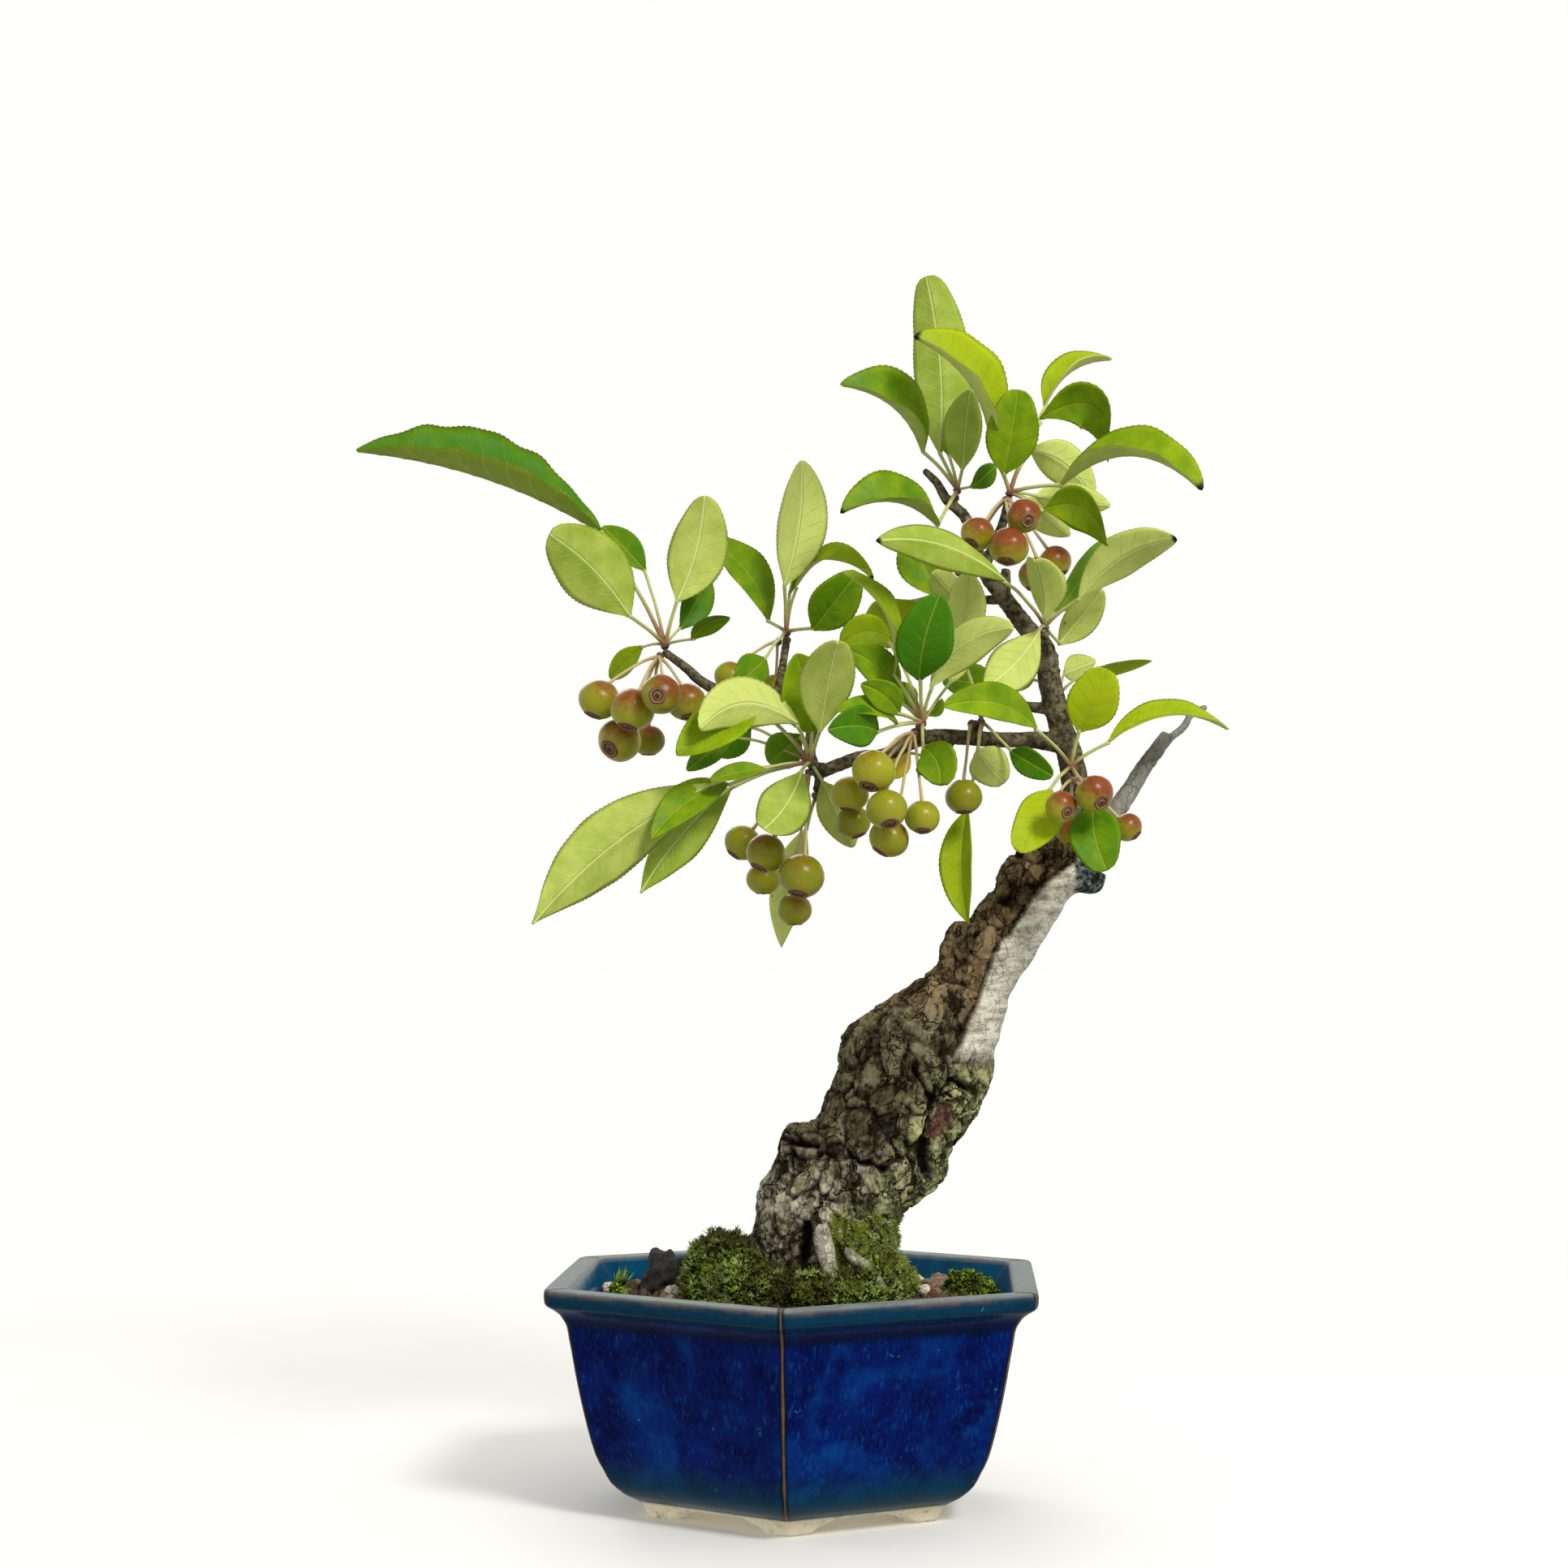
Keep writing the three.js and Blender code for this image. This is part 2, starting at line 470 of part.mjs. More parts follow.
// Fruits by spur: middle, radius, and which way the free end points
const FRUITS = {
  left: [
    [[-77, 310, -11], 8, [-2, -5, -1]],
    [[-64, 306, -25], 8.5, [-2, -7, -2]],
    [[-53, 312, -36], 7.5, [-1, -1, -6]],
    [[-43, 309, -11], 7.5, [1, -5, -2]],
    [[-69, 294, -6], 8.5, [-3, -3, -4]],
    [[-58, 294, 11], 6.5, [0, -4, 0]],
  ],
  upperLeft: [
    [[-26, 319, 17], 6.5, [-2, -3, 0]],
    [[-15, 316, 39], 6, [0, -4, 0]],
    [[-8, 315, 28], 5.5, [0, -4, 0]],
  ],
  lowerLeft: [
    [[-21, 254, -20], 7, [-3, -4, -1]],
    [[-12, 250, -42], 7.5, [-3, -6, -2]],
    [[2, 241, -48], 8.5, [-1, -5, -2]],
    [[-13, 240, -17], 6.5, [0, -4, 0]],
    [[-1, 228, -28], 6.5, [0, -4, 0]],
  ],
  front: [
    [[30, 282, -64], 8, [-2, -6, -3]],
    [[21, 273, -45], 7, [-1, -6, -1]],
    [[22, 262, -34], 6.5, [2, -5, -1]],
    [[35, 267, -67], 7.5, [1, -5, -3]],
    [[36, 256, -48], 7.5, [-4, -6, -1]],
    [[49, 264, -53], 6.5, [0, -5, -2]],
  ],
  branch: [
    [[65, 272, -31], 7, [0, -5, -1]],
  ],
  apexRight: [
    [[71, 375, -34], 6.5, [-2, -3, -2]],
    [[83, 370, -42], 7.5, [-1, -5, -2]],
    [[89, 382, -36], 6.5, [1, -2, -4]],
    [[101, 364, -11], 6.5, [2, -4, -1]],
    [[94, 359, -22], 7, [-1, -5, -1]],
    [[67, 363, 15], 6.5, [-2, -4, 0]],
  ],
  base: [
    [[116, 273, -56], 7, [2, -3, -4]],
    [[103, 268, -53], 6, [2, -2, -4]],
    [[107, 258, -21], 5.5, [0, -3, -1]],
    [[129, 260, -25], 5.5, [2, -2, -1]],
  ],
};

// The trunk. Each station is its left and its right edge as seen, and its half depth.
const TRUNK = [
  [[-17, 85], [37, 85], 24], [[-17, 103], [38, 98], 24], [[-15, 119], [38, 109], 24],
  [[-9, 128], [48, 117], 23], [[-4, 142], [57, 124], 22], [[6, 146], [60, 135], 22],
  [[10, 155], [69, 149], 22], [[16, 166], [76, 161], 22], [[18, 179], [76, 173], 22],
  [[27, 187], [78, 178], 20], [[38, 193], [79, 183], 18], [[46, 199], [81, 189], 16],
  [[54, 205], [82, 195], 14], [[56, 214], [90, 207], 14], [[61, 222], [94, 214], 14],
  [[67, 224], [98, 220], 13], [[77, 237], [107, 234], 12], [[83, 250], [117, 235], 11],
  [[95, 253], [120, 241], 8]];
const BRANCHES = {              // places along the branch, each with the radius there
  leader: [[[104, 245, 0], 9], [[108, 257, 0], 6.4], [[109, 271, 0], 5.4], [[107, 286, 0], 4.8],
    [[103, 300, 0], 4.5], [[99, 316, 0], 4.3], [[97, 329, 0], 4], [[89, 339, 0], 3.5], [[81, 350, 0], 3.1],
    [[73, 361, 0], 2.6], [[67, 380, 1], 2.1], [[59, 388, 4], 1.8], [[55, 395, 4], 1.5], [[50, 400, 4], 1.1]],
  apexTwig: [[[73, 361, 0], 2], [[80, 377, -4], 1.7], [[83, 388, -8], 1.5]],
  twinStub: [[[81, 350, 0], 2.4], [[82, 361, -1], 1.7]],
  cutStub: [[[106, 246, 0], 6], [[116, 256, 3], 4.8], [[127, 270, 4], 3.5], [[136, 284, 6], 3],
    [[145, 296, 6], 2.6]],
  cutTwig: [[[143, 293, 6], 1.4], [[151, 299, 6], 1.3], [[154, 304, 6], 1.2], [[160, 307, 6], 1]],
  longBranch: [[[103, 293, 0], 4.2], [[91, 294, -3], 3], [[79, 294, -8], 2.8], [[64, 295, -15], 2.7],
    [[50, 295, -20], 2.6], [[34, 288, -22], 2.5], [[24, 287, -22], 2.4], [[8, 281, -22], 2.3]],
  leftBranch: [[[8, 281, -22], 2.2], [[5, 289, -18], 2.1], [[5, 303, -13], 2.1], [[-10, 310, -6], 2.2],
    [[-24, 311, -3], 2.2], [[-36, 316, -1], 2], [[-43, 322, 0], 1.7], [[-51, 328, 0], 1.4]],
  upperLeftTwig: [[[-8, 310, -6], 1.8], [[-6, 320, 7], 1.5], [[-4, 333, 21], 1.4]],
  lowerLeftTwig: [[[12, 283, -22], 1.8], [[6, 284, -31], 1.4]],
  frontTwig: [[[50, 295, -20], 1.8], [[48, 299, -34], 1.4]],
  branchTwig: [[[70, 295, -13], 2], [[70, 300, -17], 1.5]],
  behindTwig: [[[100, 304, 0], 2], [[103, 309, 11], 1.4]],
  leaderTwig: [[[97, 325, 0], 2], [[97, 335, -11], 1.4]],
  baseTwig: [[[108, 276, 0], 2.4], [[107, 280, -20], 1.4]],
  innerTwig: [[[82, 349, 0], 2], [[71, 349, 14], 1.4]],
  stubTwig: [[[99, 306, 0], 2.2], [[83, 308, 6], 1.6]],
  lowTwig: [[[59, 295, -17], 1.6], [[60, 286, -17], 1.2]],
  underTwig: [[[9, 281, -22], 1.7], [[8, 275, -16], 1.4]],
};
const ROOTS = [                 // places along a root from the trunk's foot, each with the radius there
  [[[11, 110, -20], 3.5], [[10, 102, -26], 3.2], [[12, 92, -31], 2.9], [[15, 80, -36], 2.4]],
  [[[15, 103, -20], 2.4], [[21, 94, -27], 1.9], [[28, 89, -30], 1.5], [[34, 80, -31], 1.2]],
  [[[26, 100, -6], 6], [[36, 92, -8], 4.5], [[42, 78, -9], 3.5]],
  [[[-14, 96, -4], 7], [[-24, 88, -5], 5], [[-30, 74, -6], 4]],
  [[[10, 96, 18], 7], [[6, 86, 28], 5], [[2, 74, 34], 4]]];

// The trunk is wider than deep, and lumpy: knuckles stand out where old branches were. It is built up to a
// number of stations and thicker by a given amount.
function makeStem(count = TRUNK.length, extra = 0) {
  const rings = TRUNK.slice(0, count).map(([left, right, halfDepth], i) => {
    const start = seen([...left, 0]);
    const across = seen([...right, 0]).sub(start).divideScalar(2);
    const centre = start.add(across);
    const wider = 1 + extra / across.length();
    return Array.from({ length: TRUNK_SIDES }, (_, j) => {
      const angle = 2 * Math.PI * j / TRUNK_SIDES;
      const deep = halfDepth * (1 + TRUNK_LUMP * wobble(i, j, 11)) + extra;
      return centre.clone().addScaledVector(across, wider * Math.cos(angle)).setY(-deep * Math.sin(angle));
    });
  });
  return solidOf(loft(rings));
}

// The part of the trunk that meets the soil and the moss, thicker by a given amount
function trunkFoot(extra = 0) {
  const ball = [[4, 21, ROOT_DEPTH - extra], [5, 22, 70], [8, 19, 90]];
  const core = rod(ball.map(([x, , z]) => at(x, 0, z)), ball.map(([, radius]) => radius + extra), 10);
  const roots = ROOTS.map((root) =>
    rod(root.map(([place]) => seen(place)), root.map(([, radius]) => radius + extra), 5));
  return joined([makeStem(FOOT_STATIONS, extra), core, ...roots]);
}

function makeTrunk() {
  const branches = Object.values(BRANCHES).map((stations, i) => {
    const places = stations.map(([place]) => seen(place));
    const radii = stations.map(([, radius]) => radius);
    const thick = radii[0] > 4;
    return rod(places, radii, thick ? 8 : 5, 0.06, i);
  });
  const knobs = Object.values(SPURS).map(({ end }) => knob(seen(end), SPUR_RADIUS));
  return joined([makeStem(), trunkFoot(), ...branches, ...knobs]);
}

// A bud before a spur's end, turned away from it, and the point inside it that stalks start from
function makeBud(end, direction) {
  const along = at(...direction).normalize();
  const point = (distance) => seen(end).addScaledVector(along, SPUR_RADIUS + CLEARANCE + distance);
  const solid = rod([point(0), point(BUD_LENGTH * 0.45), point(BUD_LENGTH)],
    [BUD_RADIUS * 0.75, BUD_RADIUS, BUD_RADIUS * 0.6], 6);
  return { solid, heart: point(BUD_LENGTH * 0.6) };
}

// The leaves

// How wide a blade is at a share of its length, beside its greatest width
function bladeOutline(t, blunt) {
  return Math.sin(Math.PI * t) ** (0.95 - (0.35 + blunt) * t);
}

// A blade between its base and its tip. Turn is how far it is rolled about its length: at 0 its upper face
// shows from the front, at 180 its underside. Arch lifts the middle towards the upper face, bow bends it to
// the right of the way from base to tip, fold raises both halves from the midrib and twist rolls the tip.
function makeBlade([base, tip, width, turn, arch, bow, fold, twist, blunt]) {
  const foot = seen(base);
  const axis = seen(tip).sub(foot);
  const length = axis.length();
  axis.normalize();
  const toEye = EYE.clone().sub(foot);
  const right = axis.clone().cross(toEye).normalize();
  const front = right.clone().cross(axis);
  const rolled = (angle) => [
    right.clone().multiplyScalar(Math.cos(angle)).addScaledVector(front, -Math.sin(angle)),
    front.clone().multiplyScalar(Math.cos(angle)).addScaledVector(right, Math.sin(angle))];
  const up = rolled(radians(turn))[1];
  const spine = (t) => foot.clone().addScaledVector(axis, length * t)
    .addScaledVector(up, arch * 4 * t * (1 - t))
    .addScaledVector(right, bow * 4 * t * (1 - t));
  const steps = THREE.MathUtils.clamp(Math.round(length / LEAF_STEP), 4, 12);
  const rings = [];
  for (let i = 0; i < steps; i += 1) {
    const t = i / steps;
    const along = spine(t + 0.01).sub(spine(t)).normalize();
    const side = rolled(radians(turn + twist * t))[0];
    side.addScaledVector(along, -side.dot(along)).normalize();
    const normal = side.clone().cross(along);
    const tooth = 1 + TOOTH * (i % 2 ? 1 : -1);
    const half = Math.max(width / 2 * bladeOutline(t, blunt) * tooth, BLADE_FOOT);
    const lift = radians(fold);
    const wave = BLADE_WAVE * width * Math.sin(2.2 * i + base[0]);
    const middle = spine(t);
    const edge = (sign) => middle.clone()
      .addScaledVector(side, sign * half * Math.cos(lift))
      .addScaledVector(normal, half * Math.sin(lift) + (i ? wave * sign : 0));
    const below = (point) => point.clone().addScaledVector(normal, -LEAF_THICKNESS);
    const [left, rightEdge] = [edge(-1), edge(1)];
    rings.push([left, middle, rightEdge, below(rightEdge), below(middle), below(left)]);
  }
  rings.push([spine(1)]);
  return { solid: solidOf(loft(rings, 3)), foot, axis };
}

// A leaf's stalk, from its bud into the blade's foot
function makePetiole(bud, { foot, axis }) {
  const end = foot.clone().addScaledVector(axis, 1.5);
  const length = bud.distanceTo(foot);
  if (length < PETIOLE_STRAIGHT) {
    return rod([bud, end], [PETIOLE_RADIUS, PETIOLE_RADIUS], 3);
  }
  const middle = bud.clone().lerp(foot, 0.5).add(at(0, 0, 0.06 * length));
  return rod([bud, middle, end], [PETIOLE_RADIUS, PETIOLE_RADIUS, PETIOLE_RADIUS], 3);
}

function makeRosette(spur) {
  const { solid: bud, heart } = makeBud(SPURS[spur].end, SPURS[spur].leaves);
  const blades = LEAVES[spur].map(makeBlade);
  const petioles = blades.map((blade) => makePetiole(heart, blade));
  return joined([bud, ...blades.map(({ solid }) => solid), ...petioles]);
}

// The fruits

// A fruit at the end of its stalk, round, with the ring of its calyx at the free end
function makeFruit(bud, [place, radius, [across, up, back]]) {
  const centre = seen(place);
  const down = at(across, back, up).normalize();
  const side = new THREE.Vector3(0, 1, 0);
  side.addScaledVector(down, -side.dot(down)).normalize();
  const other = down.clone().cross(side);
  const ring = (height, wide) => Array.from({ length: FRUIT_SIDES }, (_, j) => {
    const angle = 2 * Math.PI * j / FRUIT_SIDES;
    return centre.clone().addScaledVector(down, height * radius)
      .addScaledVector(side, wide * radius * Math.cos(angle))
      .addScaledVector(other, wide * radius * Math.sin(angle));
  });
  const body = [ring(-0.86, 0.3), ring(-0.5, 0.88), ring(0.1, 1.04), ring(0.68, 0.74), ring(1, 0.28)];
  const top = centre.clone().addScaledVector(down, -0.7 * radius);
  const middle = bud.clone().lerp(top, 0.45).add(at(0, 0, 0.08 * bud.distanceTo(top)));
  const stalk = rod([bud, middle, top], [STALK_RADIUS, STALK_RADIUS, STALK_RADIUS * 1.3], 3);
  return solidOf(loft(body)).add(stalk);
}

function makeBunch(spur) {
  const { solid: bud, heart } = makeBud(SPURS[spur].end, SPURS[spur].fruits);
  return joined([bud, ...FRUITS[spur].map((fruit) => makeFruit(heart, fruit))]);
}

// The whole

const bonsai = new THREE.Group();
bonsai.add(meshOf('pot', makePot(), 0x17286e, 0.25));
bonsai.add(meshOf('drain_screen', makeScreen(), 0x2c2c2a, 0.7));
bonsai.add(meshOf('soil', makeSoil(), 0x4a3a2b, 0.95));
bonsai.add(meshOf('moss', makeMoss(), 0x5b6b1f, 0.95));
STONES.forEach(([name, middle, radius, stretch, colour], i) => {
  bonsai.add(meshOf(name, onSoil(knob(at(...middle), radius, stretch, 0.12, i + 20)), colour, 0.9));
});
bonsai.add(meshOf('trunk', makeTrunk(), 0x6a6048, 0.9));
Object.keys(LEAVES).forEach((spur) => {
  bonsai.add(meshOf(`leaves_${spur}`, makeRosette(spur), 0x8fae3c, 0.5));
});
Object.keys(FRUITS).forEach((spur) => {
  bonsai.add(meshOf(`fruits_${spur}`, makeBunch(spur), 0x8a7a2c, 0.35));
});

export default bonsai;
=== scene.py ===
"""The looks of a fruiting crabapple bonsai in a glazed hexagonal pot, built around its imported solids.

The tables give lengths in millimetres, as the solids do. Blender's meshes are in metres.
"""
import json
import math
import random

import bmesh
import bpy
import numpy as np
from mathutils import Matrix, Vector, noise


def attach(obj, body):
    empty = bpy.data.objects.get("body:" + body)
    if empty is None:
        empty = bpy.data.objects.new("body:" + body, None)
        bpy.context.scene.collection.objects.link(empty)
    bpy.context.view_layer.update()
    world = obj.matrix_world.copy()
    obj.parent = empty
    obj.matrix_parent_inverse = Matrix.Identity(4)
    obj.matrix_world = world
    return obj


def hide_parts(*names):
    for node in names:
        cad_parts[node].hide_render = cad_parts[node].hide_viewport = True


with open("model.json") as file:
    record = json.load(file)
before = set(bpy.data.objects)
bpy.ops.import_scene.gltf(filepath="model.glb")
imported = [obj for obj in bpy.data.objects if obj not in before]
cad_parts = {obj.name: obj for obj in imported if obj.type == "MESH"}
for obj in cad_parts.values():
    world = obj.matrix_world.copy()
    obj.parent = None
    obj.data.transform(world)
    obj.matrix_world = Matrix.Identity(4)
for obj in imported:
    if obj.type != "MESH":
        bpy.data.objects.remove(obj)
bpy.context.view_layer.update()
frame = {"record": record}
noise.seed_set(1)               # the same swirls in each run

MM = 0.001

# The camera, which sees the tree from its front
EYE = Vector((-5, -1096, 223))
CAMERA_PITCH = 2.81             # degrees upwards
FIELD_OF_VIEW = 31.15           # degrees
BACKDROP = (1.0, 0.995, 0.975)  # colour of the light all round
ROOM_LIGHT = [                  # where between straight down and straight up, and how bright
    (0, 0.6), (0.47, 0.6), (0.49, 1), (0.7, 1), (0.86, 0.6)]
FLOOR_REACH = 12                # metres from the middle to the floor's edges
FLOOR_FADE = (0.3, 1.1)         # metres from the pot where the floor starts and ends to fade
LIGHT_TARGET = (0.03, 0, 0.25)  # metres

# The pot. Radii go to the hexagon's corners.
POT_TURN = -3.4                 # degrees
POT_HEIGHT = 87
FOOT_TIP = 10                   # half the width of a foot on the surface, along the side
FOOT_TOP = 21                   # half its width where the arch ends
FOOT_HEIGHT = 4.7
RING_INSIDE = 53                # inner corner radius of the ring that the feet are cut from
RING_SIDE = 63                  # length of a side of that ring outside
DRAIN_RADIUS = 9
FLOOR_TOP = 11
POT_OUTSIDE = [                 # corner radius, height
    (65, 5), (67.8, 6.7), (70.9, 8.2), (73.9, 10), (78.6, 14.1), (81.6, 19.2), (84.7, 25), (87.8, 35),
    (90.5, 45.7), (92.6, 55), (94.3, 63.6), (95.3, 68), (96, 71.7), (97, 74.3), (99.5, 77.3), (102.6, 79.4),
    (104.6, 80.5), (105.6, 81.6), (105.9, 83), (106, 84.8), (105.8, 86.2), (105.2, 86.85),
    (104.2, POT_HEIGHT)]
POT_INSIDE = [
    (97, POT_HEIGHT), (96, 86.8), (95.3, 86.1), (94.6, 84.9), (91, 80), (88.5, 70), (83.5, 45), (76, 22),
    (64, FLOOR_TOP)]
GLAZE_EDGE = 6.2                # height where the glaze ends above the bare foot
UNDERSIDE = 5                   # height of the pot's underside
RIM_RADII = (103, 101.5, 99.5, 98)
HALF_SIDE_TURNS = (             # degrees from a corner to the middle of a side, closer near the corner
    0, 0.5, 1, 1.5, 2.1, 2.9, 4, 5.6, 8, 11, 14.5, 18, 21, 24, 27, 30)

# The filling
SOIL_EDGE = 76.5                # height at the pot's wall
SOIL_MIDDLE = 81
SOIL_REACH = 89.3               # corner radius of the soil's top
SOIL_PROFILE = [                # corner radius and height, inside the pot's wall
    (63.2, FLOOR_TOP + 0.4), (75.3, 22), (82.8, 45), (87.8, 70), (SOIL_REACH, SOIL_EDGE)]
GRAINS = 1500
GRAIN_RADII = (0.8, 1.0, 1.3, 1.7, 2.1)
MOSS_MIDDLE = Vector((3, -2, 0))
MOSS_REACH = 38                 # no loose grains nearer to its middle
MOSS_SHOOTS = 10500
TUFT_SHOOTS = 900
ROOT_MOSS_SHOOTS = 4500
SPROUTS = 7                     # taller shoots on the left tuft
SPROUT_LENGTH = 7
MOSS_BLADES = 3                 # leaves on a shoot
MOSS_BLADE = 0.52               # half width of a moss leaf at its foot
SPROUT_BLADE = 0.4
ROOT_MOSS_BLADE = 0.3

# The plant
LEAF_THICKNESS = 0.42
BLADE_FOOT = 0.35               # half width of a blade at its foot
BLADE_WAVE = 0.012              # how far a blade's edges wave, as a share of its width
LEAF_COLUMNS = 12
TOOTH_SPACING = 1.9
TOOTH_DEPTH = 0.014             # as a share of the half width
PETIOLE_RADIUS = 0.62
STALK_RADIUS = 0.55
SPUR_RADIUS = 1.7
SPUR_PROFILE = [                # height and radius, as shares of the spur's radius
    (-0.95, 0.3), (-0.6, 0.8), (0, 1), (0.6, 0.8), (0.95, 0.3)]
BUD_CLEARANCE = 0.35            # between a spur's end and the bud before it
BUD_LENGTH = 2.6
BUD_RADIUS = 1.7
BARK_VOXEL = 0.82
PLATE_SIZE = 10
PLATE_STRETCH = 1.25            # how much longer than wide a plate of bark is
CRACK_DEPTH = 1.6
MOSS_CLUMP_SIZE = 8

TRUNK = [                       # left and right edge as seen, half depth
    [[-17, 85], [37, 85], 24], [[-17, 103], [38, 98], 24], [[-15, 119], [38, 109], 24],
    [[-9, 128], [48, 117], 23], [[-4, 142], [57, 124], 22], [[6, 146], [60, 135], 22],
    [[10, 155], [69, 149], 22], [[16, 166], [76, 161], 22], [[18, 179], [76, 173], 22],
    [[27, 187], [78, 178], 20], [[38, 193], [79, 183], 18], [[46, 199], [81, 189], 16],
    [[54, 205], [82, 195], 14], [[56, 214], [90, 207], 14], [[61, 222], [94, 214], 14],
    [[67, 224], [98, 220], 13], [[77, 237], [107, 234], 12], [[83, 250], [117, 235], 11],
    [[95, 253], [120, 241], 8]]
BRANCHES = {                    # places along the branch, each with the radius there
    "leader": [[[104, 245, 0], 9], [[108, 257, 0], 6.4], [[109, 271, 0], 5.4], [[107, 286, 0], 4.8],
        [[103, 300, 0], 4.5], [[99, 316, 0], 4.3], [[97, 329, 0], 4], [[89, 339, 0], 3.5],
        [[81, 350, 0], 3.1], [[73, 361, 0], 2.6], [[67, 380, 1], 2.1], [[59, 388, 4], 1.8],
        [[55, 395, 4], 1.5], [[50, 400, 4], 1.1]],
    "apexTwig": [[[73, 361, 0], 2], [[80, 377, -4], 1.7], [[83, 388, -8], 1.5]],
    "twinStub": [[[81, 350, 0], 2.4], [[82, 361, -1], 1.7]],
    "cutStub": [[[106, 246, 0], 6], [[116, 256, 3], 4.8], [[127, 270, 4], 3.5], [[136, 284, 6], 3],
        [[145, 296, 6], 2.6]],
    "cutTwig": [[[143, 293, 6], 1.4], [[151, 299, 6], 1.3], [[154, 304, 6], 1.2], [[160, 307, 6], 1]],
    "longBranch": [[[103, 293, 0], 4.2], [[91, 294, -3], 3], [[79, 294, -8], 2.8], [[64, 295, -15], 2.7],
        [[50, 295, -20], 2.6], [[34, 288, -22], 2.5], [[24, 287, -22], 2.4], [[8, 281, -22], 2.3]],
    "leftBranch": [[[8, 281, -22], 2.2], [[5, 289, -18], 2.1], [[5, 303, -13], 2.1], [[-10, 310, -6], 2.2],
        [[-24, 311, -3], 2.2], [[-36, 316, -1], 2], [[-43, 322, 0], 1.7], [[-51, 328, 0], 1.4]],
    "upperLeftTwig": [[[-8, 310, -6], 1.8], [[-6, 320, 7], 1.5], [[-4, 333, 21], 1.4]],
    "lowerLeftTwig": [[[12, 283, -22], 1.8], [[6, 284, -31], 1.4]],
    "frontTwig": [[[50, 295, -20], 1.8], [[48, 299, -34], 1.4]],
    "branchTwig": [[[70, 295, -13], 2], [[70, 300, -17], 1.5]],
    "behindTwig": [[[100, 304, 0], 2], [[103, 309, 11], 1.4]],
    "leaderTwig": [[[97, 325, 0], 2], [[97, 335, -11], 1.4]],
    "baseTwig": [[[108, 276, 0], 2.4], [[107, 280, -20], 1.4]],
    "innerTwig": [[[82, 349, 0], 2], [[71, 349, 14], 1.4]],
    "stubTwig": [[[99, 306, 0], 2.2], [[83, 308, 6], 1.6]],
    "lowTwig": [[[59, 295, -17], 1.6], [[60, 286, -17], 1.2]],
    "underTwig": [[[9, 281, -22], 1.7], [[8, 275, -16], 1.4]],
}
ROOTS = [                       # places along a root, each with the radius there
    [[[11, 110, -20], 3.5], [[10, 102, -26], 3.2], [[12, 92, -31], 2.9], [[15, 80, -36], 2.4]],
    [[[15, 103, -20], 2.4], [[21, 94, -27], 1.9], [[28, 89, -30], 1.5], [[34, 80, -31], 1.2]],
    [[[26, 100, -6], 6], [[36, 92, -8], 4.5], [[42, 78, -9], 3.5]],
    [[[-14, 96, -4], 7], [[-24, 88, -5], 5], [[-30, 74, -6], 4]],
    [[[10, 96, 18], 7], [[6, 86, 28], 5], [[2, 74, 34], 4]]]
TRUNK_FOOT = [[[4, 48, 0], 12], [[4, 56, 0], 20], [[5, 70, 0], 22], [[7, 84, 0], 20], [[8, 92, 0], 17]]
PALE_ROOTS = 2                  # the first roots are bare and pale
PALE_HEIGHTS = (171, 241)       # lower and upper end of the pale, smooth strip down the stem's right side
PALE_EDGE = (70, 88)            # how far it reaches to the front there, in degrees from the right edge
WOUND = (54.5, 147)             # an old wound in the front, as seen
WOUND_HALF = (8.5, 4.2)         # half its length and half its width
RIFTS = [                       # gaps between rolls of bark, as seen, sunk in and painted near black as painted shade: start, end, width
    [(51.5, 155), (48.5, 140), 1.8], [(48.5, 140), (50, 127), 3.2], [(59, 163), (66, 158), 1.8],
    [(44, 168), (51.5, 155), 1.2], [(20, 134), (33, 129), 1.4], [(-4, 139), (8, 138), 1.6],
    [(4, 108), (2, 96), 3.4]]
SWIRL = (49, 190)               # where a branch was lost, with cracks round it
SWIRL_REACH = 15
CUT_PASTE = [114, 241, -4]
BLUSH = {                       # how red a bunch's fruits are
    "left": 0.18, "upperLeft": -0.05, "lowerLeft": -0.02, "front": -0.1, "branch": -0.2,
    "apexRight": 0.45, "base": 0.38}
MOSS_CLUMP = [[67, 4, 79], 7.5, [1.3, 1.3, 1.35]]
MOSS_TUFT = [[-69, 6, 79], 5, [1, 1.2, 0.9]]
STONES = [                      # node, middle, radius, stretch, material slot
    ["pumice_1", [-74, 21, 79], 2.6, [1, 1, 0.9], "pumice"],
    ["pumice_2", [-48, -3, 80], 3.2, [1, 1, 0.9], "pumice"],
    ["pumice_3", [49, 41, 79], 2.6, [1, 1, 1], "pumice"],
    ["pumice_4", [49.5, 2, 80], 2.8, [1, 1, 0.9], "pumice"],
    ["pumice_5", [4, -50, 79], 2.2, [1, 1, 0.9], "pumice"],
    ["brown_stone_1", [55, 16, 80], 5, [1.1, 1, 0.8], "brown_stone"],
    ["brown_stone_2", [57, 30, 80], 4.5, [1, 1.1, 0.8], "brown_stone"],
    ["dark_lump", [-52, 14, 83], 8, [1, 0.9, 1.2], "charred_bark"]]
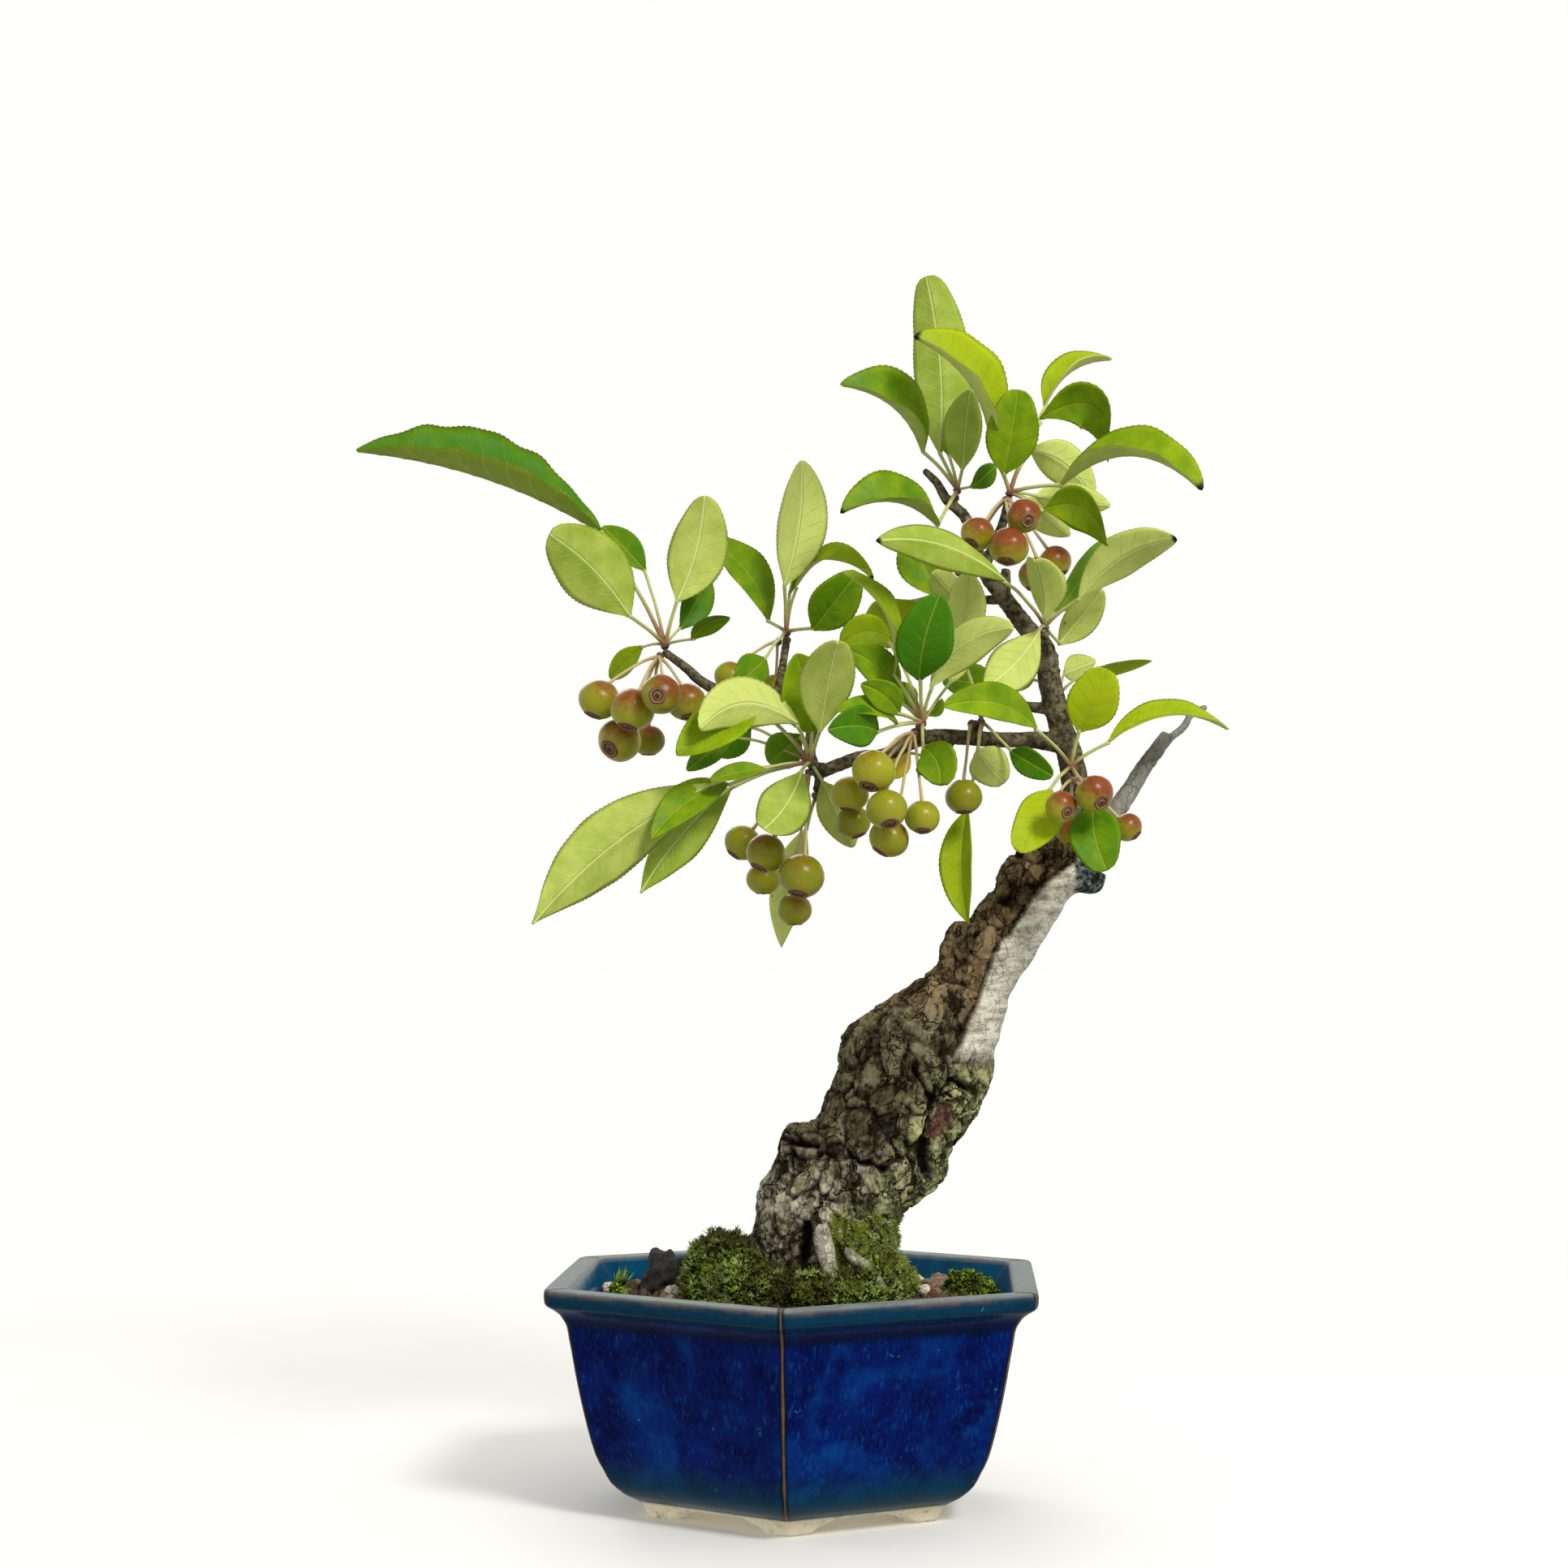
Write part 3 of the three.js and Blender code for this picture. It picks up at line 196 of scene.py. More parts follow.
MOSS_CUSHIONS = [               # middle, radius, stretch
    [[-27, -12, 82], 16, [1.05, 1, 1.45]],
    [[-31, 8, 82], 14, [1, 1.2, 1.45]],
    [[-31, -2, 82], 13, [0.95, 1, 1.25]],
    [[-22, -24, 80], 16, [1.1, 0.9, 1.1]],
    [[-12, -30, 79], 17, [1.3, 0.85, 0.9]],
    [[2, -32, 79], 15, [1.3, 0.8, 0.95]],
    [[16, -32, 79], 15, [1.3, 0.85, 0.9]],
    [[26, -25, 80], 13, [1.1, 1, 1.05]],
    [[31, -16, 81], 14, [0.95, 1.2, 1.2]],
    [[33, 8, 79], 14, [1, 1.3, 1.1]],
    [[12, 29, 78], 17, [1.4, 0.9, 0.9]],
    [[-18, 25, 79], 16, [1.2, 0.9, 1]]]

SPURS = {                       # where each ends, and which way its leaves and fruit stalks leave it
    "left": {"end": [-51, 328, 0], "leaves": [-0.2, 0.3, 1], "fruits": [-0.9, -0.5, -0.5]},
    "upperLeft": {"end": [-4, 333, 21], "leaves": [0, 0.2, 1], "fruits": [-1, 0.1, -0.1]},
    "lowerLeft": {"end": [6, 284, -31], "leaves": [-0.3, -1, 0.3], "fruits": [-0.4, -0.3, -1]},
    "front": {"end": [48, 299, -34], "leaves": [0.3, -1, 0.5], "fruits": [-0.8, -0.4, -0.8]},
    "branch": {"end": [70, 300, -17], "leaves": [0.8, -1, 0.3], "fruits": [-0.8, -1, 0]},
    "apexLeft": {"end": [62, 389, 3], "leaves": [0.3, 0, 1]},
    "apexRight": {"end": [83, 388, -8], "leaves": [0.2, 0.3, 1], "fruits": [-0.5, -1, -0.1]},
    "leader": {"end": [97, 335, -11], "leaves": [0, -0.2, 1]},
    "base": {"end": [107, 280, -20], "leaves": [0, 0.2, 1], "fruits": [0, -1, -0.7]},
    "inner": {"end": [71, 349, 14], "leaves": [-0.8, 0.2, 0.6]},
    "stub": {"end": [83, 308, 6], "leaves": [-1, 0.2, 0.2]},
    "behind": {"end": [103, 309, 11], "leaves": [0, 0.3, 1]},
    "low": {"end": [60, 286, -17], "leaves": [-0.6, 0.2, -0.8]},
    "under": {"end": [8, 275, -16], "leaves": [-0.2, 0.4, -1]},
}

LEAVES = {                      # base, tip, width, turn, arch, bow, fold, twist, bluntness, lightness (own tone and painted light and shade)
    "left": [
        [[-76, 376, -6], [-173, 408, -34], 42, 75, 3, 3, 38, -4, -0.25, 0.12],
        [[-59, 360, 11], [-76, 378, 17], 13, 20, 1, 0, 15, 0, 0, 0.25],
        [[-65, 342, -14], [-97, 375, -31], 28, 185, 3, 3, 10, 0, 0.12, 0.35],
        [[-47, 348, -3], [-36, 390, 0], 24, 170, 3, 2, 12, 0, 0.12, 0.5],
        [[-46, 337, 14], [-35, 358, 28], 14, 20, 2, 0, 15, 0, 0.1, 0.15],
        [[-41, 333, -11], [-26, 342, -20], 10, 40, 1, -3, 15, 0, 0, 0.3],
        [[-60, 331, 6], [-73, 318, 17], 10, 20, 1, 0, 12, 0, 0, 0.6],
    ],
    "upperLeft": [
        [[-12, 326, -6], [-24, 315, -20], 14, 0, 1, 0, 10, 0, 0, 0.3],
        [[-5, 354, 11], [2, 404, 6], 22, 165, 3, 2, 20, 0, 0, 0.9],
        [[-3, 350, 22], [4, 401, 31], 13, 60, 2, 0, 20, 0, 0, 0.4],
        [[-11, 340, 25], [-37, 373, 42], 18, 30, 2, 5, 18, 0, -0.1, 0.35],
        [[6, 337, 6], [24, 360, -8], 19, 5, 2, 0, 12, 0, 0.1, 0.3],
        [[-1, 354, 20], [30, 357, 8], 14, -60, 2, -9, 20, 0, 0, 0.6],
    ],
    "lowerLeft": [
        [[6, 296, -32], [0, 328, -46], 24, 12, 2, 0, 25, 0, 0, 0.45],
        [[9, 297, -48], [16, 333, -70], 22, 195, 2, 0, 15, 0, 0.1, 0.5],
        [[1, 300, -46], [-38, 298, -68], 21, 178, 3, 9, 18, 0, 0, 0.85],
        [[-17, 309, -42], [-47, 288, -62], 22, 25, 3, -2, 25, 0, 0, 0.55],
        [[-25, 296, -20], [-43, 282, -25], 10, 10, 1, 0, 12, 0, 0, 0.2],
        [[-18, 300, -11], [-31, 288, -8], 13, 0, 1, 0, 10, 0, 0.1, 0.1],
        [[2, 296, -34], [-11, 285, -25], 15, 0, 1, 0, 10, 0, 0, 0.3],
        [[2, 282, -48], [-13, 259, -70], 20, 180, 2, -2, 10, 0, 0.12, 0.35],
        [[-33, 277, -42], [-103, 222, -78], 27, 165, 4, 4, 15, 0, -0.45, 0.45],
        [[-25, 276, -28], [-61, 234, -39], 18, 200, 2, 3, 15, 0, -0.45, 0.2],
        [[-26, 277, -34], [-57, 255, -59], 15, 20, 2, 3, 15, 0, -0.2, 0.4],
        [[-12, 283, -39], [-34, 278, -50], 9, 40, 1, 0, 15, 0, 0, 0.4],
        [[10, 278, -31], [22, 252, -22], 15, 180, 2, 0, 12, 0, 0, 0.5],
    ],
    "front": [
        [[48, 317, -48], [56, 351, -62], 22, 5, 4, -2, 12, 0, 0.1, 0],
        [[38, 319, -42], [18, 360, -59], 17, 72, 2, 6, 20, 0, 0, 0.5],
        [[39, 310, -36], [18, 330, -53], 15, 20, 2, 3, 15, 0, 0, 0.35],
        [[37, 333, -8], [17, 331, -11], 14, 10, 2, 4, 15, 0, 0, 0.6],
        [[40, 304, -48], [25, 316, -64], 12, 0, 1, 2, 10, 0, 0, 0.35],
        [[45, 305, -22], [39, 317, -20], 10, 30, 1, 0, 15, 0, 0, 0.4],
        [[36, 304, -22], [24, 310, -17], 9, 10, 1, 0, 10, 0, 0.1, 0.15],
        [[40, 300, -45], [15, 305, -70], 11, 50, 2, 2, 20, 0, 0, 0.4],
        [[32, 297, -53], [12, 298, -76], 16, 0, 2, 2, 12, 0, 0, 0.1],
        [[52, 314, -45], [85, 338, -64], 17, 160, 3, -7, 15, 0, 0, 0.75],
        [[60, 316, -31], [67, 336, -34], 12, 190, 2, 0, 12, 0, 0, 0.8],
        [[50, 304, -31], [57, 310, -28], 7, 40, 1, 0, 30, 0, 0, 0.4],
        [[49, 291, -42], [56, 276, -48], 17, 10, 2, -3, 12, 0, 0.2, 0.4],
    ],
    "branch": [
        [[64, 330, -8], [67, 360, -20], 16, 170, 3, 0, 15, 0, 0, 0.9],
        [[70, 290, -24], [81, 277, -17], 16, 180, 2, 0, 12, 0, 0.2, 0.9],
        [[83, 290, -22], [100, 280, -36], 11, 10, 1, 0, 12, 0, 0.2, 0.1],
        [[67, 268, -14], [67, 222, -25], 17, 30, 2, 2, 30, 0, -0.3, 0.65],
    ],
    "apexLeft": [
        [[56, 406, 3], [51, 477, 20], 25, 165, 5, 2, 12, 0, 0.26, 0.3],
        [[50, 407, -3], [17, 434, -25], 29, 63, 3, 4, 36, 0, -0.15, 0.35],
        [[60, 405, 17], [50, 434, 48], 18, 20, 2, 0, 15, 0, 0, 0.2],
        [[65, 400, -4], [68, 432, -8], 17, 200, 2, 0, 15, 0, 0, 0.35],
        [[68, 393, 0], [78, 402, 6], 9, 20, 1, 0, 10, 0, 0, 0.2],
        [[56, 378, -8], [17, 383, -28], 25, 60, 3, 5, 36, 4, -0.15, 0.35],
    ],
    "apexRight": [
        [[77, 408, -11], [46, 453, -34], 31, 64, 3, 5, 38, 0, 0, 0.8],
        [[81, 398, -14], [87, 432, -25], 21, 10, 2, 0, 12, 0, 0.2, 0.4],
        [[97, 425, 14], [124, 444, 25], 17, -64, 2, -4, 36, 0, -0.2, 0.7],
        [[95, 420, -6], [122, 403, -17], 20, 0, 2, -15, 15, 50, 0, 0.4],
        [[91, 408, 6], [116, 389, 25], 17, 180, 3, -4, 12, 0, 0.1, 0.9],
        [[103, 394, -17], [159, 392, -45], 25, -66, 2, -11, 38, 0, 0, 0.5],
        [[93, 390, -3], [123, 386, 11], 14, 190, 2, 0, 15, 0, 0, 0.8],
        [[90, 389, 6], [107, 374, 31], 14, 175, 2, 0, 12, 0, 0, 0.85],
        [[96, 384, -14], [122, 370, -36], 17, 0, 2, -8, 15, 40, 0, 0.5],
    ],
    "leader": [
        [[82, 356, -48], [31, 372, -78], 17, 205, 3, 7, 20, 0, -0.15, 0.3],
        [[95, 337, -31], [74, 315, -50], 19, 180, 2, -2, 12, 0, 0, 0.7],
        [[97, 341, -39], [93, 365, -59], 19, 150, 2, 0, 30, 0, 0.15, 0.6],
        [[100, 343, 6], [122, 373, 25], 15, 30, 2, 0, 15, 0, 0, 0.3],
        [[110, 349, -20], [149, 373, -45], 18, 200, 3, -4, 15, 0, 0, 0.75],
        [[102, 331, -3], [120, 353, -8], 14, 170, 2, 0, 15, 0, 0, 0.6],
    ],
    "base": [
        [[94, 298, -36], [57, 307, -62], 16, 25, 2, 5, 18, 0, 0, 0.4],
        [[99, 275, -31], [85, 251, -50], 18, 0, 2, -2, 12, 0, 0.2, 0.95],
        [[116, 269, -39], [121, 243, -53], 20, 0, 2, 2, 10, 0, 0.22, 0.25],
        [[110, 297, -25], [121, 322, -34], 20, 5, 2, 0, 12, 0, 0.24, 0.85],
        [[121, 293, -22], [169, 298, -12], 16, -62, 2, -7, 20, 0, -0.2, 0.7],
    ],
    "inner": [
        [[58, 361, 20], [41, 371, 36], 14, 15, 2, 0, 12, 0, 0, 0.2],
        [[55, 350, 14], [45, 373, 20], 25, 10, 2, 0, 25, 0, 0, 0.4],
        [[64, 348, 3], [53, 360, -8], 12, 185, 1, 0, 12, 0, 0, 0.6],
        [[47, 349, 22], [26, 338, 42], 21, 0, 2, -3, 12, 0, 0, 0.8],
    ],
    "stub": [
        [[92, 321, 24], [87, 333, 32], 9, 190, 1, 0, 15, 0, 0, 0.7],
        [[79, 310, -4], [57, 317, 2], 16, 20, 2, 2, 12, 0, 0, 0.3],
    ],
    "behind": [
        [[93, 318, 14], [76, 314, 7], 11, 30, 1, 0, 15, 0, 0, 0.65],
        [[104, 320, 22], [117, 325, 39], 11, 190, 1, 0, 12, 0, 0, 0.7],
        [[112, 320, 11], [139, 325, 17], 11, 60, 1, -2, 20, 0, -0.2, 0.7],
    ],
    "low": [
        [[44, 290, -13], [36, 279, -10], 10, 10, 1, 0, 10, 0, 0, 0.9],
    ],
    "under": [
        [[4, 260, -6], [-6, 213, 4], 16, 200, 2, 4, 20, 0, -0.25, 0.85],
    ],
}
BURNT_TIPS = [                  # tips of the leaves that end in a black point
    [46, 453, -34], [159, 392, -45], [17, 383, -28], [31, 372, -78],
    [26, 338, 42], [18, 330, -53], [149, 373, -45], [30, 357, 8]]

FRUITS = {                      # middle, radius, and which way the free end points
    "left": [
        [[-77, 310, -11], 8, [-2, -5, -1]],
        [[-64, 306, -25], 8.5, [-2, -7, -2]],
        [[-53, 312, -36], 7.5, [-1, -1, -6]],
        [[-43, 309, -11], 7.5, [1, -5, -2]],
        [[-69, 294, -6], 8.5, [-3, -3, -4]],
        [[-58, 294, 11], 6.5, [0, -4, 0]],
    ],
    "upperLeft": [
        [[-26, 319, 17], 6.5, [-2, -3, 0]],
        [[-15, 316, 39], 6, [0, -4, 0]],
        [[-8, 315, 28], 5.5, [0, -4, 0]],
    ],
    "lowerLeft": [
        [[-21, 254, -20], 7, [-3, -4, -1]],
        [[-12, 250, -42], 7.5, [-3, -6, -2]],
        [[2, 241, -48], 8.5, [-1, -5, -2]],
        [[-13, 240, -17], 6.5, [0, -4, 0]],
        [[-1, 228, -28], 6.5, [0, -4, 0]],
    ],
    "front": [
        [[30, 282, -64], 8, [-2, -6, -3]],
        [[21, 273, -45], 7, [-1, -6, -1]],
        [[22, 262, -34], 6.5, [2, -5, -1]],
        [[35, 267, -67], 7.5, [1, -5, -3]],
        [[36, 256, -48], 7.5, [-4, -6, -1]],
        [[49, 264, -53], 6.5, [0, -5, -2]],
    ],
    "branch": [
        [[65, 272, -31], 7, [0, -5, -1]],
    ],
    "apexRight": [
        [[71, 375, -34], 6.5, [-2, -3, -2]],
        [[83, 370, -42], 7.5, [-1, -5, -2]],
        [[89, 382, -36], 6.5, [1, -2, -4]],
        [[101, 364, -11], 6.5, [2, -4, -1]],
        [[94, 359, -22], 7, [-1, -5, -1]],
        [[67, 363, 15], 6.5, [-2, -4, 0]],
    ],
    "base": [
        [[116, 273, -56], 7, [2, -3, -4]],
        [[103, 268, -53], 6, [2, -2, -4]],
        [[107, 258, -21], 5.5, [0, -3, -1]],
        [[129, 260, -25], 5.5, [2, -2, -1]],
    ],
}


# Materials

class Paint:
    """A material, its nodes made and wired by short calls.

    A value is a number, a colour or another node's output. Sizes are in millimetres.
    """

    def __init__(self, name, **settings):
        self.material = bpy.data.materials.new(name)
        self.material.use_nodes = True
        self.tree = self.material.node_tree
        self.shader = self.tree.nodes["Principled BSDF"]
        self.place = self.node("ShaderNodeTexCoord").outputs["Object"]
        self.set(**settings)

    def node(self, kind, **settings):
        made = self.tree.nodes.new(kind)
        for name, value in settings.items():
            setattr(made, name, value)
        return made

    def feed(self, socket, value):
        if isinstance(value, bpy.types.NodeSocket):
            self.tree.links.new(value, socket)
        elif isinstance(value, tuple) and len(value) == 3 and socket.type == "RGBA":
            socket.default_value = (*value, 1)
        else:
            socket.default_value = value

    def set(self, **settings):
        for name, value in settings.items():
            self.feed(self.shader.inputs[name.replace("_", " ").title().replace("Ior", "IOR")], value)

    def mark(self, name):
        """The number that the piece's mesh holds at each point under that name."""
        return self.node("ShaderNodeAttribute", attribute_name=name).outputs["Fac"]

    def math(self, operation, first, second=0.0):
        made = self.node("ShaderNodeMath", operation=operation)
        self.feed(made.inputs[0], first)
        self.feed(made.inputs[1], second)
        return made.outputs[0]

    def times(self, first, second):
        return self.math("MULTIPLY", first, second)

    def plus(self, first, second):
        return self.math("ADD", first, second)

    def greater(self, first, second):
        return self.math("MAXIMUM", first, second)

    def rest(self, share):
        """What is left of 1."""
        return self.math("SUBTRACT", 1, share)

    def noise(self, size, detail=3.0, rough=0.55, stretch=(1, 1, 1), bend=0.0):
        """Noise with features of about that many millimetres."""
        made = self.node("ShaderNodeTexNoise")
        self.feed(made.inputs["Vector"], self.stretched(stretch))
        self.feed(made.inputs["Scale"], 1 / (size * MM))
        self.feed(made.inputs["Detail"], detail)
        self.feed(made.inputs["Roughness"], rough)
        self.feed(made.inputs["Distortion"], bend)
        return made.outputs["Fac"]

    def cells(self, size, feature="F1", output="Distance", stretch=(1, 1, 1), vector=None):
        made = self.node("ShaderNodeTexVoronoi", feature=feature)
        self.feed(made.inputs["Vector"], vector or self.stretched(stretch))
        self.feed(made.inputs["Scale"], 1 / (size * MM))
        return made.outputs[output]

    def stretched(self, stretch):
        if stretch == (1, 1, 1):
            return self.place
        made = self.node("ShaderNodeMapping")
        self.feed(made.inputs["Vector"], self.place)
        made.inputs["Scale"].default_value = stretch
        return made.outputs[0]

    def warped(self, size, shift, stretch=(1, 1, 1)):
        """The place, pushed to and fro by up to that many millimetres in swirls of that size."""
        swirl = self.node("ShaderNodeTexNoise")
        self.feed(swirl.inputs["Vector"], self.place)
        self.feed(swirl.inputs["Scale"], 1 / (size * MM))
        self.feed(swirl.inputs["Detail"], 4.0)
        push = self.node("ShaderNodeVectorMath", operation="MULTIPLY_ADD")
        self.feed(push.inputs[0], swirl.outputs["Color"])
        push.inputs[1].default_value = (4 * shift * MM,) * 3
        self.feed(push.inputs[2], self.stretched(stretch))
        return push.outputs[0]

    def between(self, value, low, high, start=0.0, end=1.0):
        """Rises smoothly from start to end as the value goes from low to high."""
        made = self.node("ShaderNodeMapRange", interpolation_type="SMOOTHSTEP")
        for name, number in (("Value", value), ("From Min", low), ("From Max", high), ("To Min", start),
                             ("To Max", end)):
            self.feed(made.inputs[name], number)
        return made.outputs[0]

    def mix(self, share, first, second):
        made = self.node("ShaderNodeMix", data_type="RGBA")
        self.feed(made.inputs[0], share)
        self.feed(made.inputs[6], first)
        self.feed(made.inputs[7], second)
        return made.outputs[2]

    def bump(self, height, depth, strength=1.0):
        """Bumps of that depth in millimetres where the height goes from 0 to 1."""
        made = self.node("ShaderNodeBump")
        self.feed(made.inputs["Height"], height)
        made.inputs["Distance"].default_value = depth * MM
        made.inputs["Strength"].default_value = strength
        self.tree.links.new(made.outputs[0], self.shader.inputs["Normal"])


# Meshes

def seen(place):
    """A point of the tree, given by where it shows from the front in the trunk's plane and by its depth."""
    u, v, depth = place
    point = Vector((u, 0, v))
    return point + (point - EYE) * (-depth / EYE.y)


def frame_slot(node):
    """The material slot that the record gives a node."""
    return next(part["material_slot"] for part in frame["record"]["subparts"] if part["node"] == node)


def smoothstep(value, low, high):
    share = min(max((value - low) / (high - low), 0.0), 1.0)
    return share * share * (3 - 2 * share)


class Shape:
    """The points and faces of one piece, and the numbers at its points that its materials read."""

    def __init__(self):
        self.points = []
        self.faces = []
        self.materials = []
        self.marks = []

    def add(self, points, faces, material=0, **marks):
        """Adds points and the faces between them. A mark is one number, or a list with one for each point."""
        start = len(self.points)
        self.points += points
        self.cover(faces, material, start)
        for at in range(len(points)):
            self.marks.append({name: value[at] if isinstance(value, list) else value
                               for name, value in marks.items()})

    def cover(self, faces, material, start):
        """Adds faces whose points are counted from a start."""
        self.faces += [tuple(start + index for index in face) for face in faces]
        self.materials += [material] * len(faces)

    def piece(self, name, materials, slot, *nodes):
        """The finished piece, in place of these solids if there are any."""
        mesh = bpy.data.meshes.new(name)
        mesh.from_pydata([point * MM for point in self.points], [], self.faces)
        for material in materials:
            mesh.materials.append(material)
        mesh.polygons.foreach_set("material_index", self.materials)
        mesh.polygons.foreach_set("use_smooth", [True] * len(self.faces))
        for mark in sorted({mark for marks in self.marks for mark in marks}):
            values = [marks.get(mark, 0.0) for marks in self.marks]
            mesh.attributes.new(mark, "FLOAT", "POINT").data.foreach_set("value", values)
        mesh.update()
        piece = bpy.data.objects.new(name, mesh)
        bpy.context.scene.collection.objects.link(piece)
        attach(piece, "root")
        if nodes:
            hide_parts(*nodes)


def tube_faces(rings, sides):
    """The faces of a tube through rings of points, closed at both ends by its last two points."""
    faces = []
    for ring in range(rings - 1):
        for side in range(sides):
            here = ring * sides + side
            after = ring * sides + (side + 1) % sides
            faces.append((here, after, after + sides, here + sides))
    first, last, top = rings * sides, rings * sides + 1, (rings - 1) * sides
    for side in range(sides):
        after = (side + 1) % sides
        faces.append((first, after, side))
        faces.append((last, top + side, top + after))
    return faces


def tube(points, radii, sides):
    """The points and faces of a tube along a line of points."""
    side = Vector((0, 1, 0))
    made = []
    for i, point in enumerate(points):
        along = (points[min(i + 1, len(points) - 1)] - points[max(i - 1, 0)]).normalized()
        side = (side - along * side.dot(along)).normalized()
        other = along.cross(side)
        for j in range(sides):
            angle = 2 * math.pi * j / sides
            made.append(point + side * (radii[i] * math.cos(angle)) + other * (radii[i] * math.sin(angle)))
    made += [points[0], points[-1]]
    return made, tube_faces(len(points), sides)


def curve(places, steps):
    """Points along a smooth curve through these places, each place a list of numbers."""
    rows = np.array(places, dtype=float)
    rows = np.vstack([2 * rows[0] - rows[1], rows, 2 * rows[-1] - rows[-2]])
    made = []
    for i in range(1, len(rows) - 2):
        before, start, end, after = rows[i - 1:i + 3]
        for step in range(steps):
            t = step / steps
            made.append(0.5 * (2 * start + (end - before) * t
                               + (2 * before - 5 * start + 4 * end - after) * t ** 2
                               + (3 * start - before - 3 * end + after) * t ** 3))
    made.append(rows[-2])
    return made


def bent(start, middle, end, steps):
    """Points along a curve that starts and ends at these points and passes near the middle one."""
    control = middle * 2 - (start + end) / 2
    return [start * (1 - t) ** 2 + control * (2 * t * (1 - t)) + end * t ** 2
            for t in (step / steps for step in range(steps + 1))]


# Leaves

def leaf_paint(name, face, vein, vein_share, rough, depth):
    """One side of the leaves: face is its two colours, and vein_share how much the veins' colour shows."""
    paint = Paint(name, subsurface_weight=0.12, subsurface_scale=0.001, subsurface_radius=(0.9, 1.0, 0.25),
                  specular_ior_level=0.1)
    rib, across, tone = paint.mark("rib"), paint.mark("across"), paint.mark("tone")
    along, tip, edge = paint.mark("along"), paint.mark("dark_tip"), paint.mark("margin")
    off = paint.math("ABSOLUTE", paint.math("SUBTRACT", paint.math("FRACT", paint.plus(rib, 0.5)), 0.5))
    width = paint.between(edge, 0, 1, 0.05, 0.018)
    lateral = paint.rest(paint.between(paint.math("DIVIDE", off, width), 0.35, 1.3))
    lateral = paint.times(lateral, paint.between(edge, 0.62, 0.97, 1, 0.12))
    midrib = paint.rest(paint.between(across, 0.2, 0.55))
    net = paint.rest(paint.between(paint.cells(1.5, "DISTANCE_TO_EDGE"), 0.02, 0.11))
    veins = paint.greater(midrib, paint.times(lateral, 0.6))
    fine = paint.greater(veins, paint.times(net, 0.1))
    blotch = paint.noise(9, 3)
    # Each leaf's tone mark lightens or darkens it: partly its own colour, partly painted light and shade.
    colour = paint.mix(paint.between(paint.plus(tone, paint.times(blotch, 0.7)), 0.35, 1.3), *face)
    colour = paint.mix(paint.times(paint.noise(1.1, 2), 0.14), colour, (0.02, 0.05, 0.002))
    colour = paint.mix(paint.times(fine, vein_share), colour, vein)
    spots = paint.rest(paint.between(paint.cells(16), 0.025, 0.045))
    colour = paint.mix(paint.times(spots, 0.75), colour, (0.09, 0.045, 0.012))
    burnt = paint.times(tip, paint.between(along, 0.95, 0.98))
    colour = paint.mix(burnt, colour, (0.012, 0.009, 0.006))
    paint.set(base_color=colour, roughness=paint.between(blotch, 0.3, 0.7, rough - 0.05, rough + 0.08))
    paint.bump(paint.plus(veins, paint.times(paint.noise(0.5, 3), 0.35)), depth)
    return paint.material


def stalk_paint(name, pale, red, brown):
    """Petioles and fruit stalks, red or brown at the spur and pale further out."""
    paint = Paint(name, subsurface_weight=0.25, subsurface_scale=0.0008, subsurface_radius=(1.0, 0.8, 0.3))
    along, tone = paint.mark("along"), paint.mark("tone")
    share = paint.between(paint.plus(along, paint.times(paint.noise(3), 0.25)), 0.1, 0.62)
    colour = paint.mix(share, paint.mix(tone, red, brown), pale)
    colour = paint.mix(paint.times(paint.noise(1.3, 4), 0.3), colour, brown)
    paint.set(base_color=colour, roughness=0.5)
    paint.bump(paint.noise(0.5, 3, stretch=(1, 1, 0.4)), 0.12)
    return paint.material


def bud_paint():
    paint = Paint("bud_scales", roughness=0.75)
    scale = paint.between(paint.mark("scale"), 0.0, 0.35)
    colour = paint.mix(paint.noise(1.2, 4), (0.05, 0.022, 0.014), (0.2, 0.1, 0.05))
    paint.set(base_color=paint.mix(scale, (0.012, 0.007, 0.005), colour))
    paint.bump(paint.noise(0.4, 4), 0.2)
    return paint.material


def rolled(right, front, angle):
    """The direction across a blade and the one out of its upper face, when it is rolled by an angle."""
    side = right * math.cos(angle) - front * math.sin(angle)
    return side, front * math.cos(angle) + right * math.sin(angle)


def blade_outline(t, blunt):
    """How wide a blade is at a share of its length, beside its greatest width."""
    return math.sin(math.pi * t) ** (0.95 - (0.35 + blunt) * t)


